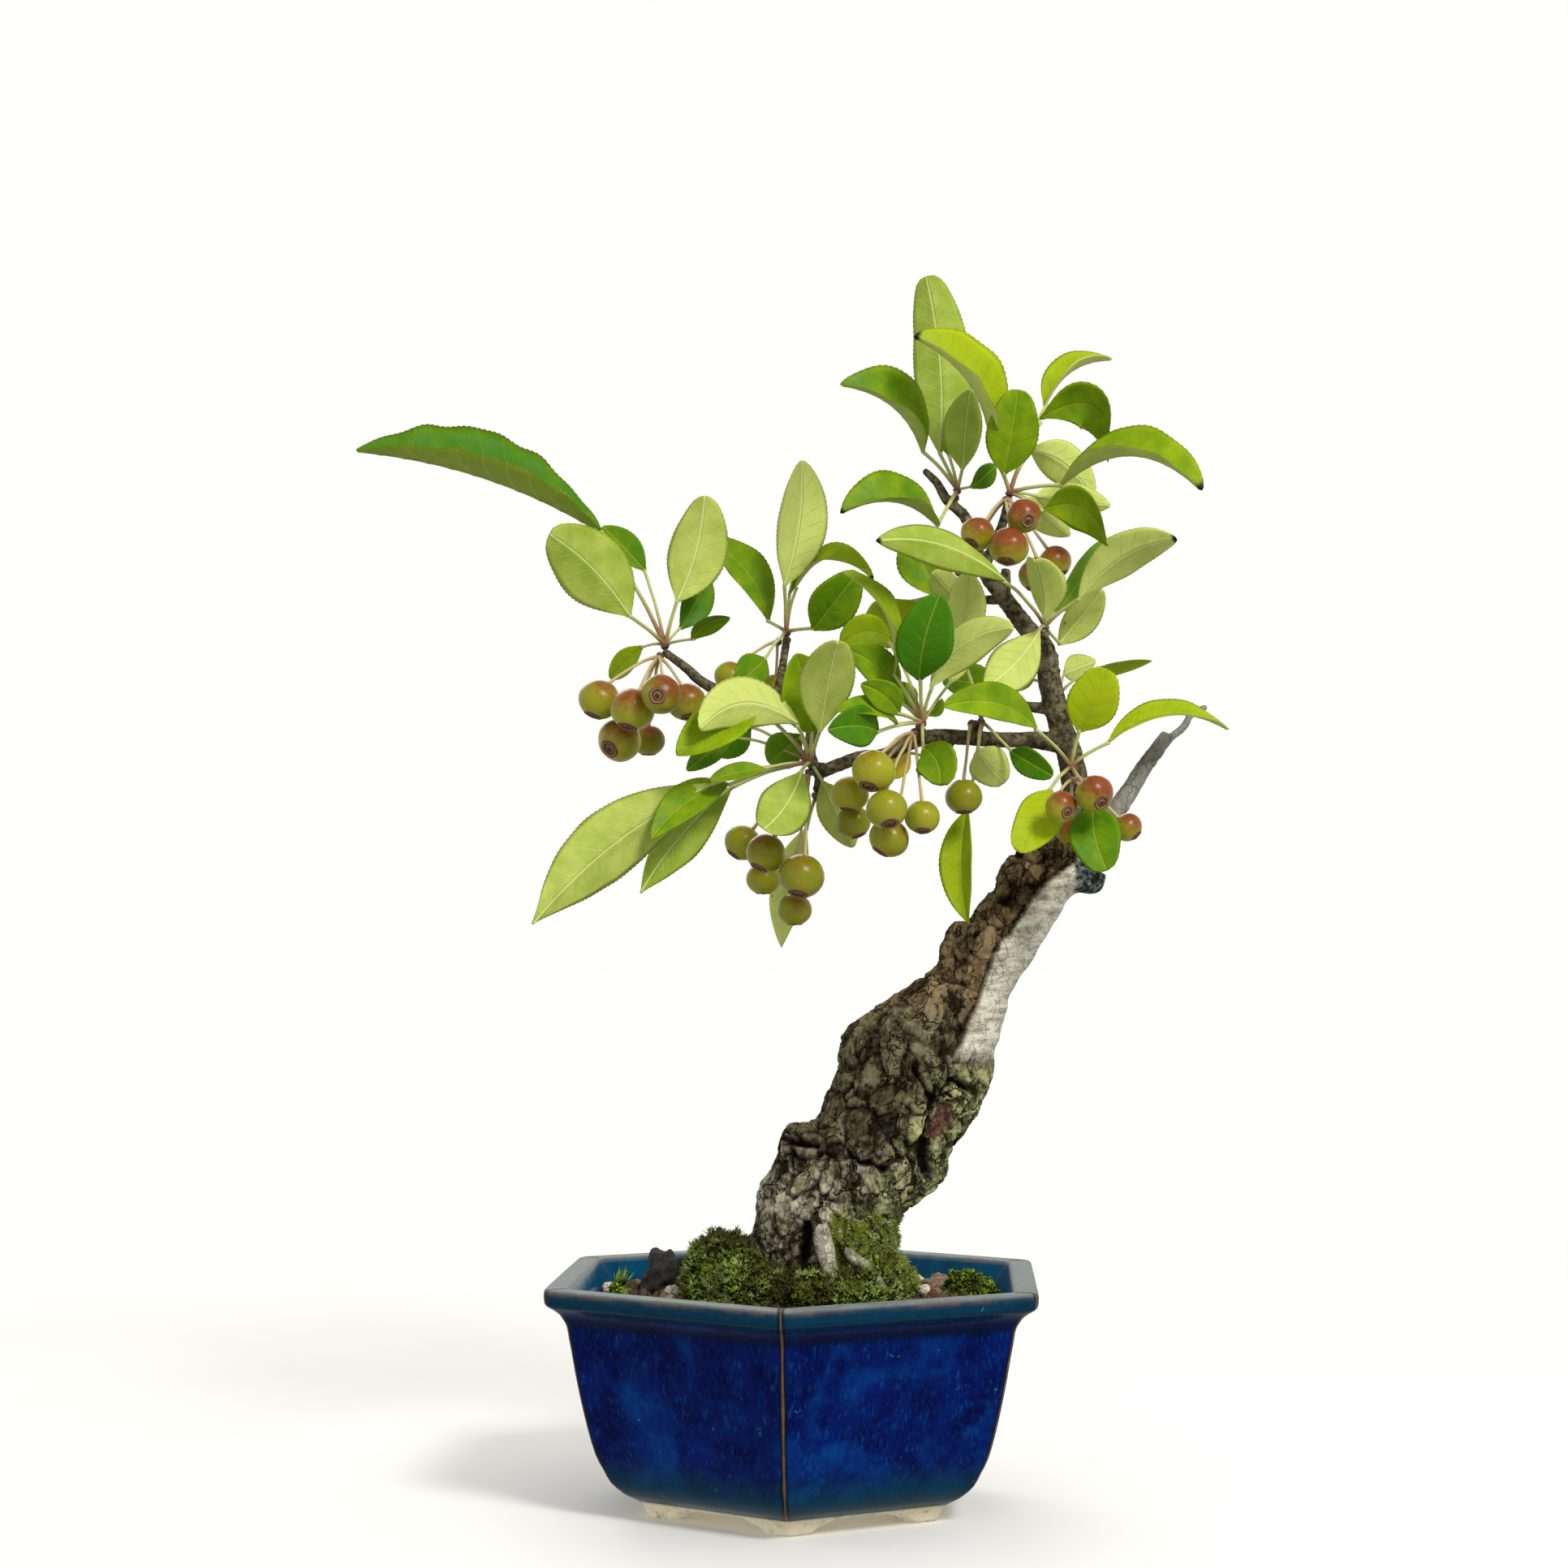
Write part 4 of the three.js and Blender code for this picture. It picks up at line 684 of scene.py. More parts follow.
def add_blade(shape, row, dice):
    """A blade with teeth, a midrib, veins and a thin edge. Returns its foot and the way to its tip."""
    base, tip, width, turn, arch, bow, fold, twist, blunt, tone = row
    foot = seen(base)
    axis = seen(tip) - foot
    length = axis.length
    axis = axis.normalized()
    right = axis.cross(EYE - foot).normalized()
    front = right.cross(axis)
    up = rolled(right, front, math.radians(turn))[1]

    def spine(t):
        return foot + axis * (length * t) + up * (arch * 4 * t * (1 - t)) + right * (bow * 4 * t * (1 - t))

    rows = 2 * max(6, round(length / TOOTH_SPACING))
    ribs = min(max(length / 5.5, 4.5), 11)
    burnt = float(tip in BURNT_TIPS)
    ripple = dice.uniform(0, 6)
    upper, under, marks_upper, marks_under = [], [], [], []
    for i in range(1, rows):
        toothed = i % 2
        t = (i + (0.55 if toothed else 0)) / rows
        along = (spine(t + 0.01) - spine(t - 0.01)).normalized()
        side = rolled(right, front, math.radians(turn + twist * t))[0]
        side = (side - along * side.dot(along)).normalized()
        normal = side.cross(along)
        full = max(width / 2 * blade_outline(t, blunt), BLADE_FOOT)
        lift = math.radians(fold)
        wave = BLADE_WAVE * width * math.sin(2.2 * t * length / 8 + base[0])
        for column in range(LEAF_COLUMNS + 1):
            s = 2 * column / LEAF_COLUMNS - 1
            out = abs(s)
            at = t if out == 1 or not toothed else i / rows
            half = full * (1 + (TOOTH_DEPTH if toothed else -TOOTH_DEPTH) * (out == 1))
            rib = at * ribs - 1.7 * out * (1 - 0.3 * out) * min(1, width / 18)
            valley = math.exp(-((rib + 0.5) % 1 - 0.5) ** 2 / 0.012) * (1 - out ** 4)
            quilt = width * (0.011 * (1 - valley) * (1 - out ** 3) - 0.014 * math.exp(-(out / 0.09) ** 2))
            curl = 0.35 * half * math.sin(lift) * (out ** 2.2 - out)
            edge_ripple = 0.009 * width * out ** 3 * math.sin(ripple + at * length / 2.3 + s)
            middle = spine(at)
            rise = out * half * math.sin(lift) + curl + wave * s * out + quilt + edge_ripple
            point = middle + side * (s * half * math.cos(lift)) + normal * rise
            mark = {"rib": rib, "across": out * half, "along": at, "margin": out}
            upper.append(point)
            marks_upper.append(mark)
            if 0 < column < LEAF_COLUMNS:
                keel = 0.55 * math.exp(-(out * half / 0.75) ** 2) * (1 - 0.7 * at)
                thick = LEAF_THICKNESS * (1 - out ** 3) + keel
                under.append(point - normal * (thick + 0.006 * width * (1 - valley) * (1 - out ** 3)))
                marks_under.append(mark)
    count = rows - 1
    wide, narrow = LEAF_COLUMNS + 1, LEAF_COLUMNS - 1
    points = upper + under + [spine(0), spine(1)]
    marks = marks_upper + marks_under + [
        {"rib": 0, "across": 0, "along": end, "margin": 0} for end in (0, 1)]

    def top(i, j):
        return i * wide + j

    def low(i, j):
        return top(i, j) if j in (0, wide - 1) else count * wide + i * narrow + j - 1

    def faces_of(corner):
        """One side's faces, seen from above. Corner gives the number of the point in a row and a column."""
        first, last = len(points) - 2, len(points) - 1
        columns = range(wide - 1)
        return ([(corner(i, j + 1), corner(i, j), corner(i + 1, j), corner(i + 1, j + 1))
                 for i in range(count - 1) for j in columns]
                + [(first, corner(0, j), corner(0, j + 1)) for j in columns]
                + [(last, corner(count - 1, j + 1), corner(count - 1, j)) for j in columns])

    start = len(shape.points)
    shape.add(points, faces_of(top), 0, tone=tone, dark_tip=burnt,
              **{name: [mark[name] for mark in marks] for name in marks[0]})
    shape.cover([face[::-1] for face in faces_of(low)], 1, start)
    return foot, axis


def add_bud(shape, end, direction, material, dice):
    """A bud before a spur's end, in overlapping scales. Returns the point in it where stalks start."""
    along = Vector(direction).normalized()
    start = seen(end) + along * (SPUR_RADIUS + BUD_CLEARANCE)
    rings, sides = 13, 14
    points, radii, scales = [], [], []
    for ring in range(rings):
        t = ring / (rings - 1)
        layer = (t * 3.2) % 1
        points.append(start + along * (BUD_LENGTH * t))
        radii.append(BUD_RADIUS * (0.72 + 0.45 * math.sin(math.pi * min(t * 1.1, 1)) - 0.35 * t)
                     * (1.08 - 0.2 * layer))
        scales.append(layer)
    made, faces = tube(points, radii, sides)
    made = [point + noise.noise_vector(point / 1.3) * 0.22 for point in made]
    shape.add(made, faces, material, scale=[scales[min(i // sides, rings - 1)] for i in range(len(made))],
              tone=dice.random())
    return start + along * (BUD_LENGTH * 0.6)


def add_stalk(shape, start, middle, end, radius, material, dice, steps=14, flare=0.25):
    """A petiole or fruit stalk, thicker at both ends."""
    line = bent(start, middle, end, steps)
    sway = dice.uniform(0, 9)
    size = (end - start).length * 0.012
    line = [point + noise.noise_vector(point / 9 + Vector((sway, 0, 0)))
            * (size * math.sin(math.pi * i / steps)) for i, point in enumerate(line)]
    radii = [radius * (1 + flare * (2 * i / steps - 1) ** 4 + 0.25 * (1 - i / steps) ** 2)
             for i in range(steps + 1)]
    made, faces = tube(line, radii, 8)
    along = [min(i // 8, steps) / steps for i in range(len(made) - 2)] + [0, 1]
    shape.add(made, faces, material, along=along, tone=dice.random())


def make_rosette(spur, paints):
    dice = random.Random(f"leaves {spur}")
    shape = Shape()
    heart = add_bud(shape, SPURS[spur]["end"], SPURS[spur]["leaves"], 3, dice)
    for row in LEAVES[spur]:
        foot, axis = add_blade(shape, row, dice)
        length = (foot - heart).length
        middle = heart.lerp(foot, 0.5) + Vector((0, 0, 0.04 * length))
        radius = PETIOLE_RADIUS * min(1.1, 0.6 + row[2] / 40)
        add_stalk(shape, heart, middle, foot + axis * 1.2, radius, 2, dice)
    shape.piece(f"foliage_{spur}", paints, frame_slot(f"leaves_{spur}"), f"leaves_{spur}")


# Fruits

FRUIT_PROFILE = [               # height along the fruit's axis and radius, as shares of its radius, and calyx
    (-0.70, 0.10, 0), (-0.80, 0.17, 0), (-0.86, 0.26, 0), (-0.86, 0.38, 0), (-0.80, 0.52, 0),
    (-0.68, 0.68, 0), (-0.50, 0.84, 0), (-0.25, 0.97, 0), (0.00, 1.02, 0), (0.22, 1.00, 0), (0.45, 0.91, 0),
    (0.64, 0.77, 0), (0.76, 0.63, 0), (0.83, 0.53, 0), (0.865, 0.46, 0.3), (0.89, 0.43, 0.9),
    (0.915, 0.40, 0.9), (0.925, 0.365, 0.5), (0.91, 0.33, 0.45), (0.88, 0.29, 0.85), (0.86, 0.25, 1),
    (0.85, 0.20, 0.7), (0.865, 0.15, 0.6), (0.93, 0.11, 0.9), (0.95, 0.05, 1)]


def fruit_paint():
    paint = Paint("fruit_skin", subsurface_weight=0.1, subsurface_scale=0.002,
                  subsurface_radius=(1.0, 0.6, 0.2), specular_ior_level=0.24)
    blush, calyx, tone, down = (paint.mark(name) for name in ("blush", "calyx", "tone", "down"))
    streak = paint.noise(2.4, 5, 0.65)
    green = paint.mix(tone, (0.17, 0.172, 0.003), (0.3, 0.3, 0.01))
    green = paint.mix(paint.between(down, 0.2, 0.95, 0, 0.35), green, (0.42, 0.38, 0.04))
    red = paint.mix(paint.noise(4, 3), (0.13, 0.014, 0.002), (0.25, 0.07, 0.012))
    share = paint.between(paint.plus(blush, paint.times(streak, 0.55)), 0.5, 1.15)
    colour = paint.mix(share, green, red)
    lenticels = paint.rest(paint.between(paint.cells(1.9), 0.05, 0.13))
    colour = paint.mix(paint.times(lenticels, 0.45), colour, (0.55, 0.47, 0.22))
    colour = paint.mix(paint.between(calyx, 0.1, 0.4), colour,
                       paint.mix(paint.noise(0.9, 4), (0.16, 0.085, 0.035), (0.3, 0.17, 0.08)))
    colour = paint.mix(paint.between(calyx, 0.62, 0.95), colour,
                       paint.mix(paint.noise(0.5, 4), (0.025, 0.01, 0.006), (0.1, 0.045, 0.025)))
    paint.set(base_color=colour, roughness=paint.between(calyx, 0.1, 0.5, 0.27, 0.75))
    paint.bump(paint.noise(0.7, 4), 0.1, 0.6)
    return paint.material


def add_fruit(shape, heart, row, blush, dice):
    place, radius, (across, up, back) = row
    centre = seen(place)
    down = Vector((across, back, up)).normalized()
    side = (Vector((0, 1, 0)) - down * down.y).normalized()
    other = down.cross(side)
    sides = 32
    tone, swell = dice.random(), dice.uniform(0, 6)
    shine = Vector((dice.uniform(-0.6, 0.6), -0.5, 0.75)).normalized()
    points, marks = [], {"blush": [], "calyx": [], "down": []}
    for height, wide, calyx in FRUIT_PROFILE:
        for j in range(sides):
            angle = 2 * math.pi * j / sides
            lobes = 1 + 0.012 * math.cos(5 * angle + swell) * (1 + 4 * calyx)
            lobes += 0.01 * math.cos(angle + swell)
            out = side * math.cos(angle) + other * math.sin(angle)
            points.append(centre + down * (height * radius) + out * (wide * lobes * radius))
            face = (out * wide + down * height).normalized()
            marks["blush"].append(blush + 0.55 * face.dot(shine))
            marks["calyx"].append(calyx)
            marks["down"].append(height)
    points += [centre + down * (FRUIT_PROFILE[end][0] * radius) for end in (0, -1)]
    for name, end in (("blush", (blush, blush)), ("calyx", (0, 1)), ("down", (-1, 1))):
        marks[name] += end
    shape.add(points, tube_faces(len(FRUIT_PROFILE), sides), 0, tone=tone, **marks)
    top = centre - down * (0.68 * radius)
    middle = heart.lerp(top, 0.45) + Vector((0, 0, 0.07 * (top - heart).length))
    add_stalk(shape, heart, middle, top, STALK_RADIUS, 1, dice, 18, 0.55)


def make_bunch(spur, paints):
    dice = random.Random(f"fruits {spur}")
    shape = Shape()
    heart = add_bud(shape, SPURS[spur]["end"], SPURS[spur]["fruits"], 2, dice)
    for row in FRUITS[spur]:
        add_fruit(shape, heart, row, BLUSH[spur] + dice.uniform(-0.12, 0.12), dice)
    shape.piece(f"fruit_bunch_{spur}", paints, frame_slot(f"fruits_{spur}"), f"fruits_{spur}")


# The trunk

def bark_paint():
    paint = Paint("bark", specular_ior_level=0.0)
    crack, plate, pale, young, wound, paste, moss, flaky, lip, grey, lichen = (
        paint.mark(name) for name in BARK_MARKS)
    grain = paint.noise(1.6, 6, 0.68, stretch=(1, 1, 0.4), bend=0.4)
    patch = paint.noise(10, 4)
    swirled = paint.warped(5, 1.7, (1, 1, 0.75))
    slits = paint.between(paint.cells(6.4, "DISTANCE_TO_EDGE", vector=swirled), 0.0, 0.065, 1, 0)
    slits = paint.times(slits, paint.between(paint.noise(9, 3), 0.4, 0.56))
    fine = paint.between(paint.cells(2.7, "DISTANCE_TO_EDGE", vector=swirled), 0.0, 0.1, 0.8, 0)
    fine = paint.times(fine, paint.between(paint.noise(6, 4), 0.48, 0.62))
    slits = paint.greater(slits, fine)
    shade = paint.between(paint.cells(6.4, output="Color", vector=swirled), 0.2, 0.8)
    tone = paint.plus(paint.times(plate, 0.75), paint.times(shade, 0.22))
    tone = paint.plus(tone, paint.times(grain, 0.8))
    old = paint.mix(paint.between(tone, 0.6, 1.25), (0.01, 0.0085, 0.004), (0.16, 0.137, 0.067))
    brown = paint.mix(paint.between(tone, 0.6, 1.2), (0.02, 0.013, 0.006), (0.27, 0.175, 0.082))
    old = paint.mix(paint.times(flaky, paint.between(patch, 0.3, 0.58, 0.35, 0.95)), old, brown)
    ash = paint.mix(paint.between(tone, 0.65, 1.1), (0.024, 0.021, 0.012), (0.5, 0.46, 0.34))
    old = paint.mix(paint.times(grey, paint.between(paint.noise(5, 5, 0.7), 0.4, 0.6)), old, ash)
    crust = paint.mix(paint.between(tone, 0.62, 1.1), (0.02, 0.023, 0.006), (0.46, 0.48, 0.21))
    old = paint.mix(paint.times(lichen, paint.between(paint.noise(4, 5, 0.7), 0.4, 0.56)), old, crust)
    old = paint.mix(slits, old, (0.008, 0.006, 0.004))
    rust = paint.mix(paint.between(grain, 0.35, 0.7), (0.006, 0.003, 0.002), (0.07, 0.028, 0.014))
    old = paint.mix(paint.times(lip, 0.8), old, rust)
    mottle = paint.between(paint.noise(2.4, 5), 0.35, 0.65)
    twig = paint.mix(mottle, (0.045, 0.036, 0.018), (0.17, 0.15, 0.09))
    rings = paint.cells(1.8, stretch=(1, 1, 2))
    twig = paint.mix(paint.between(rings, 0.06, 0.16, 0.6, 0), twig, (0.26, 0.21, 0.15))
    silver = paint.mix(paint.noise(2.6, 6, 0.7, stretch=(1, 1, 0.35)), (0.1, 0.097, 0.08), (0.42, 0.41, 0.35))
    twig = paint.mix(paint.between(paint.mark("cut"), 0, 1, 0, 0.9), twig, silver)
    colour = paint.mix(young, old, twig)
    wrinkles = paint.noise(5, 6, 0.68, stretch=(0.5, 0.5, 2))
    smooth = paint.mix(paint.between(wrinkles, 0.3, 0.66), (0.27, 0.255, 0.185), (0.7, 0.68, 0.55))
    smooth = paint.mix(paint.between(paint.noise(2, 5, 0.7), 0.57, 0.66, 0, 0.6), smooth, (0.1, 0.085, 0.05))
    colour = paint.mix(pale, colour, smooth)
    bare_wood = paint.mix(paint.between(grain, 0.3, 0.7), (0.012, 0.006, 0.004), (0.2, 0.1, 0.075))
    colour = paint.mix(wound, colour, bare_wood)
    # Near black in the bark's cracks, and painted shade in the rifts that the crack mark also carries.
    colour = paint.mix(crack, colour, (0.007, 0.005, 0.004))
    green = paint.mix(paint.noise(1.6, 5), (0.02, 0.03, 0.003), (0.2, 0.24, 0.02))
    colour = paint.mix(paint.times(moss, paint.between(paint.noise(4, 4), 0.35, 0.55)), colour, green)
    tar = paint.mix(paint.between(paint.noise(2, 4), 0.4, 0.7), (0.015, 0.019, 0.018), (0.19, 0.23, 0.2))
    colour = paint.mix(paste, colour, tar)
    paint.set(base_color=colour, roughness=paint.between(pale, 0, 1, 0.9, 0.7))
    relief = paint.math("SUBTRACT", paint.times(grain, 0.8), paint.times(slits, 0.9))
    paint.bump(relief, 0.9, 0.9)
    return paint.material


def remeshed(shape, voxel):
    """One skin round all of a shape's bodies, as its points in millimetres, normals and faces."""
    mesh = bpy.data.meshes.new("raw")
    mesh.from_pydata([point * MM for point in shape.points], [], shape.faces)
    raw = bpy.data.objects.new("raw", mesh)
    bpy.context.scene.collection.objects.link(raw)
    skin = raw.modifiers.new("skin", "REMESH")
    skin.mode = "VOXEL"
    skin.voxel_size = voxel * MM
    raw_skinned = raw.evaluated_get(bpy.context.evaluated_depsgraph_get())
    skinned = bpy.data.meshes.new_from_object(raw_skinned)
    points = [vertex.co / MM for vertex in skinned.vertices]
    normals = [vertex.normal.copy() for vertex in skinned.vertices]
    faces = [tuple(polygon.vertices) for polygon in skinned.polygons]
    bpy.data.objects.remove(raw)
    bpy.data.meshes.remove(mesh)
    bpy.data.meshes.remove(skinned)
    return points, normals, faces


def stem(shape, samples, sides=48):
    """The stem, smooth between the left and right edges that its stations give."""
    rows = curve([[*seen((*left, 0)), *seen((*right, 0)), depth] for left, right, depth in TRUNK], 12)
    points = []
    for row in rows:
        start, end, depth = Vector(row[:3]), Vector(row[3:6]), row[6]
        middle, across = (start + end) / 2, (end - start) / 2
        samples.append((middle, across.length, "stem", across.normalized(), depth))
        for j in range(sides):
            angle = 2 * math.pi * j / sides
            points.append(middle + across * math.cos(angle) + Vector((0, depth * math.sin(angle), 0)))
    points += [(points[0] + points[sides // 2]) / 2, (points[-sides] + points[-sides // 2]) / 2]
    shape.add(points, tube_faces(len(rows), sides))


def limb(shape, stations, steps, sides, kind):
    """Adds a branch or a root, smooth along its stations: a place and a radius. Returns its samples."""
    rows = curve([[*seen(place), radius] for place, radius in stations], steps)
    line = [Vector(row[:3]) for row in rows]
    radii = [row[3] for row in rows]
    shape.add(*tube(line, radii, sides))
    return [(point, radius, kind, Vector((1, 0, 0)), radius) for point, radius in zip(line, radii)]


def bark_cells(point):
    """How near a point of the bark is to the crack round its plate, and a number for the plate."""
    lean = Vector((point.x * 0.9 - point.z * 0.43, point.y, (point.x * 0.43 + point.z * 0.9) / PLATE_STRETCH))
    lean += noise.noise_vector(point / (1.1 * PLATE_SIZE)) * (0.3 * PLATE_SIZE)
    lean += noise.noise_vector(point / (0.35 * PLATE_SIZE)) * (0.08 * PLATE_SIZE)
    distances, centres = noise.voronoi(lean / PLATE_SIZE)
    return distances[1] - distances[0], 0.5 + 0.5 * noise.noise(centres[0] * 7.3)


def bump_up(value, middle, width):
    """1 at the middle and nearly 0 further than its width away."""
    return math.exp(-((value - middle) / width) ** 2)


def strip_share(point, turn):
    """How much a point of the stem belongs to the pale strip, and to the roll of bark beside the strip."""
    edge = PALE_EDGE[0] + (PALE_EDGE[1] - PALE_EDGE[0]) * smoothstep(point.z, *PALE_HEIGHTS)
    edge += 3 * noise.noise(point / 12) + 0.6 * noise.noise(point / 4)
    ends = smoothstep(point.z + 3 * noise.noise(point / 4), PALE_HEIGHTS[0] - 4, PALE_HEIGHTS[0] + 3)
    inside = smoothstep(edge - turn, -1, 4) * smoothstep(turn, -32, -18) * ends
    return inside, bump_up(turn, edge + 2, 2.2) * ends


def wound_share(point):
    """How much a point of the front belongs to the old wound."""
    u, v = point.x - WOUND[0], point.z - WOUND[1]
    along, across = 0.42 * u + 0.907 * v, 0.907 * u - 0.42 * v
    away = math.hypot(along / WOUND_HALF[0], across / WOUND_HALF[1]) + 0.2 * noise.noise(point / 3)
    return (1 - smoothstep(away, 0.75, 1.05)) * float(point.y < 0)


def rift_share(point):
    """How deep a point of the front lies in one of the rifts between the bark's rolls."""
    deepest = 0.0
    for start, end, width in RIFTS:
        way = (end[0] - start[0], end[1] - start[1])
        reach = way[0] ** 2 + way[1] ** 2
        share = min(max(((point.x - start[0]) * way[0] + (point.z - start[1]) * way[1]) / reach, 0), 1)
        away = math.hypot(point.x - start[0] - share * way[0], point.z - start[1] - share * way[1])
        away += 1.4 * noise.noise(point / 4)
        deepest = max(deepest, 1 - smoothstep(away, 0.35 * width, width))
    return deepest * float(point.y < 0)


BARK_MARKS = (
    "crack", "plate", "pale", "young", "wound", "paste", "mossy", "flaky", "lip", "grey", "lichen")


def bark_at(point, sample):
    """How far a point of the skin stands out, and its marks."""
    middle, radius, kind, across, depth = sample
    off = point - middle
    turn = math.degrees(math.atan2(-off.y / depth, off.dot(across) / radius))
    on_stem = float(kind == "stem")
    young = 1 - smoothstep(radius, 4.2, 8) if kind not in ("root", "pale root", "stem") else 0.0
    pale, lip = strip_share(point, turn) if on_stem else (0.65 * (kind == "pale root"), 0.0)
    edge, plate = bark_cells(point)
    open_share = smoothstep(noise.noise(point / 9 + Vector((7, 0, 0))), -0.35, 0.25)
    crack = (1 - smoothstep(edge, 0.01, 0.1)) * (0.45 + 0.55 * open_share)
    swirl = math.hypot(point.x - SWIRL[0], point.z - SWIRL[1])
    if on_stem and swirl < SWIRL_REACH and point.y < 0:
        arcs = abs((swirl / 3.3 + 0.7 * noise.noise(point / 6)) % 1 - 0.5)
        arc = (1 - smoothstep(arcs, 0.02, 0.13)) * smoothstep(noise.noise(point / 5), -0.15, 0.15)
        crack = max(crack * smoothstep(swirl, 0.5 * SWIRL_REACH, SWIRL_REACH),
                    arc * (1 - smoothstep(swirl, 0.8 * SWIRL_REACH, SWIRL_REACH)))
    wound = wound_share(point) * on_stem
    rift = rift_share(point) * on_stem
    paste = 1 - smoothstep((point - seen(CUT_PASTE)).length + 2.5 * noise.noise(point / 3), 7.5, 9.5)
    rough = (1 - young) * (1 - pale) * (1 - 0.7 * wound)
    lump = 1.6 * noise.noise(point / 17) + 0.8 * noise.noise(point / 7)
    grit = noise.fractal(point / 2.6, 0.75, 2, 4)
    old = lump + 2.6 * (plate - 0.5) - CRACK_DEPTH * crack + 0.45 * grit
    small = min(radius, 5) * 0.09 * noise.fractal(point / 2.0, 0.7, 2, 3)
    height = rough * old + young * small - 1.3 * lip + 0.4 * pale + pale * 0.5 * noise.noise(point / 6)
    height += 1.1 * bump_up(wound, 0.25, 0.2) - 1.3 * wound - 3.2 * rift
    low = 1 - smoothstep(point.z, 116, 150)
    mossy = 1 - smoothstep(point.z + 9 * noise.noise(point / 8), 104, 117)
    mossy *= smoothstep(point.x, 9, 15) * (1 - pale)
    lichen = smoothstep(turn, -10, 15) * smoothstep(85 - turn, -5, 20) * smoothstep(172 - point.z, 0, 12)
    # The rifts join the crack mark, so the paint turns them near black as painted shade.
    return height, {
        "crack": max(crack * rough, rift), "plate": plate + 0.22 * grit,
        "pale": pale * (1 - rift), "young": young, "wound": wound, "paste": paste, "mossy": mossy,
        "flaky": smoothstep(point.z, 182, 200) * (1 - pale), "lip": lip, "grey": max(low, 0.12),
        "lichen": lichen * on_stem, "cut": float(kind in ("cutStub", "cutTwig"))}


def make_trunk(paint, moss_paint):
    shape = Shape()
    samples = []
    stem(shape, samples)
    for name, stations in BRANCHES.items():
        samples += limb(shape, stations, 4, 18 if stations[0][1] > 4 else 12, name)
    limb(shape, TRUNK_FOOT, 5, 24, "stem")
    for i, root in enumerate(ROOTS):
        samples += limb(shape, root, 5, 14, "pale root" if i < PALE_ROOTS else "root")
    for spur in SPURS.values():
        end = seen(spur["end"])
        points = [end + Vector((0, 0, SPUR_RADIUS * height)) for height, _ in SPUR_PROFILE]
        shape.add(*tube(points, [SPUR_RADIUS * wide for _, wide in SPUR_PROFILE], 10))
    points, normals, faces = remeshed(shape, BARK_VOXEL)

    marks = {name: [] for name in (*BARK_MARKS, "cut")}
    moved = []
    for point, normal, owner in zip(points, normals, owners(points, samples)):
        height, values = bark_at(point, samples[owner])
        moved.append(point + normal * height)
        for name, value in values.items():
            marks[name].append(value)
    bark = Shape()
    bark.add(moved, faces, 0, **marks)
    green = [(point, normal) for point, normal, mossy in zip(moved, normals, marks["mossy"])
             if mossy > 0.55 and point.z > 80 and noise.noise(point / 6) > -0.05]
    dice = random.Random("moss on the roots")
    moss = Shape()
    for _ in range(ROOT_MOSS_SHOOTS):
        point, normal = dice.choice(green)
        add_shoot(moss, point, normal, dice.uniform(1.1, 2.4), ROOT_MOSS_BLADE,
                  0.75 + 0.6 * noise.noise(point / 5), dice)
    moss.piece("moss_on_roots", [moss_paint], "moss")
    bark.piece("bark", [paint], "bark", "trunk")


def owners(points, samples):
    """The number of each point's sample: by the nearest surface, or on the stem by the nearest middle."""
    middles = np.array([sample[0] for sample in samples])
    radii = np.array([sample[1] for sample in samples])
    stems = np.array([sample[2] == "stem" for sample in samples])
    found = []
    for start in range(0, len(points), 5000):
        away = np.linalg.norm(np.array(points[start:start + 5000])[:, None] - middles, axis=2)
        nearest = (away - radii).argmin(axis=1)
        on_stem = np.where(stems, away, np.inf).argmin(axis=1)
        found += np.where(stems[nearest], on_stem, nearest).tolist()
    return found


# Moss, stones and soil

def moss_paint(name, tips):
    """Moss, with painted shade between its shoots: each shoot darkens towards its foot. Its tips are dull,
    fresh or pale.
    """
    paint = Paint(name, roughness=0.9, specular_ior_level=0.05)
    tone, along, fresh = paint.mark("tone"), paint.mark("along"), paint.mark("fresh")
    green = paint.mix(fresh, tips[0], tips[1])
    green = paint.mix(paint.times(fresh, paint.between(tone, 0.45, 1, 0, 0.9)), green, tips[2])
    green = paint.mix(paint.between(paint.noise(3, 4), 0.3, 0.7, 0.35, 0), green, (0.03, 0.03, 0.01))
    # Painted shade: near black at the foot of each shoot, turning to its green towards the tip.
    paint.set(base_color=paint.mix(paint.between(along, 0, 0.6), (0.008, 0.01, 0.003), green))
    paint.bump(paint.noise(0.6, 4), 0.5)
    return paint.material


def freshness(point):
    """How bright the moss is: fresh at the left, dull in the middle and on top, greener at the right."""
    share = 0.42 + 0.9 * noise.noise(point / 8) + 0.5 * noise.noise(point / 3)
    share += 0.45 * (1 - smoothstep(point.x, -24, -16)) - 0.25 * bump_up(point.x, -4, 12)
    share += 0.3 * smoothstep(point.x, 14, 24)
    return min(max(share - 0.9 * smoothstep(point.z, 96, 102) * float(point.x < 0), 0.0), 1.0)


def clump_share(point):
    """How near the middle of its clump a point of the moss lies, from 0 in the gap between clumps to 1."""
    distances, _ = noise.voronoi(point / MOSS_CLUMP_SIZE + noise.noise_vector(point / 5) * 0.2)
    return smoothstep(distances[1] - distances[0], 0, 0.5)


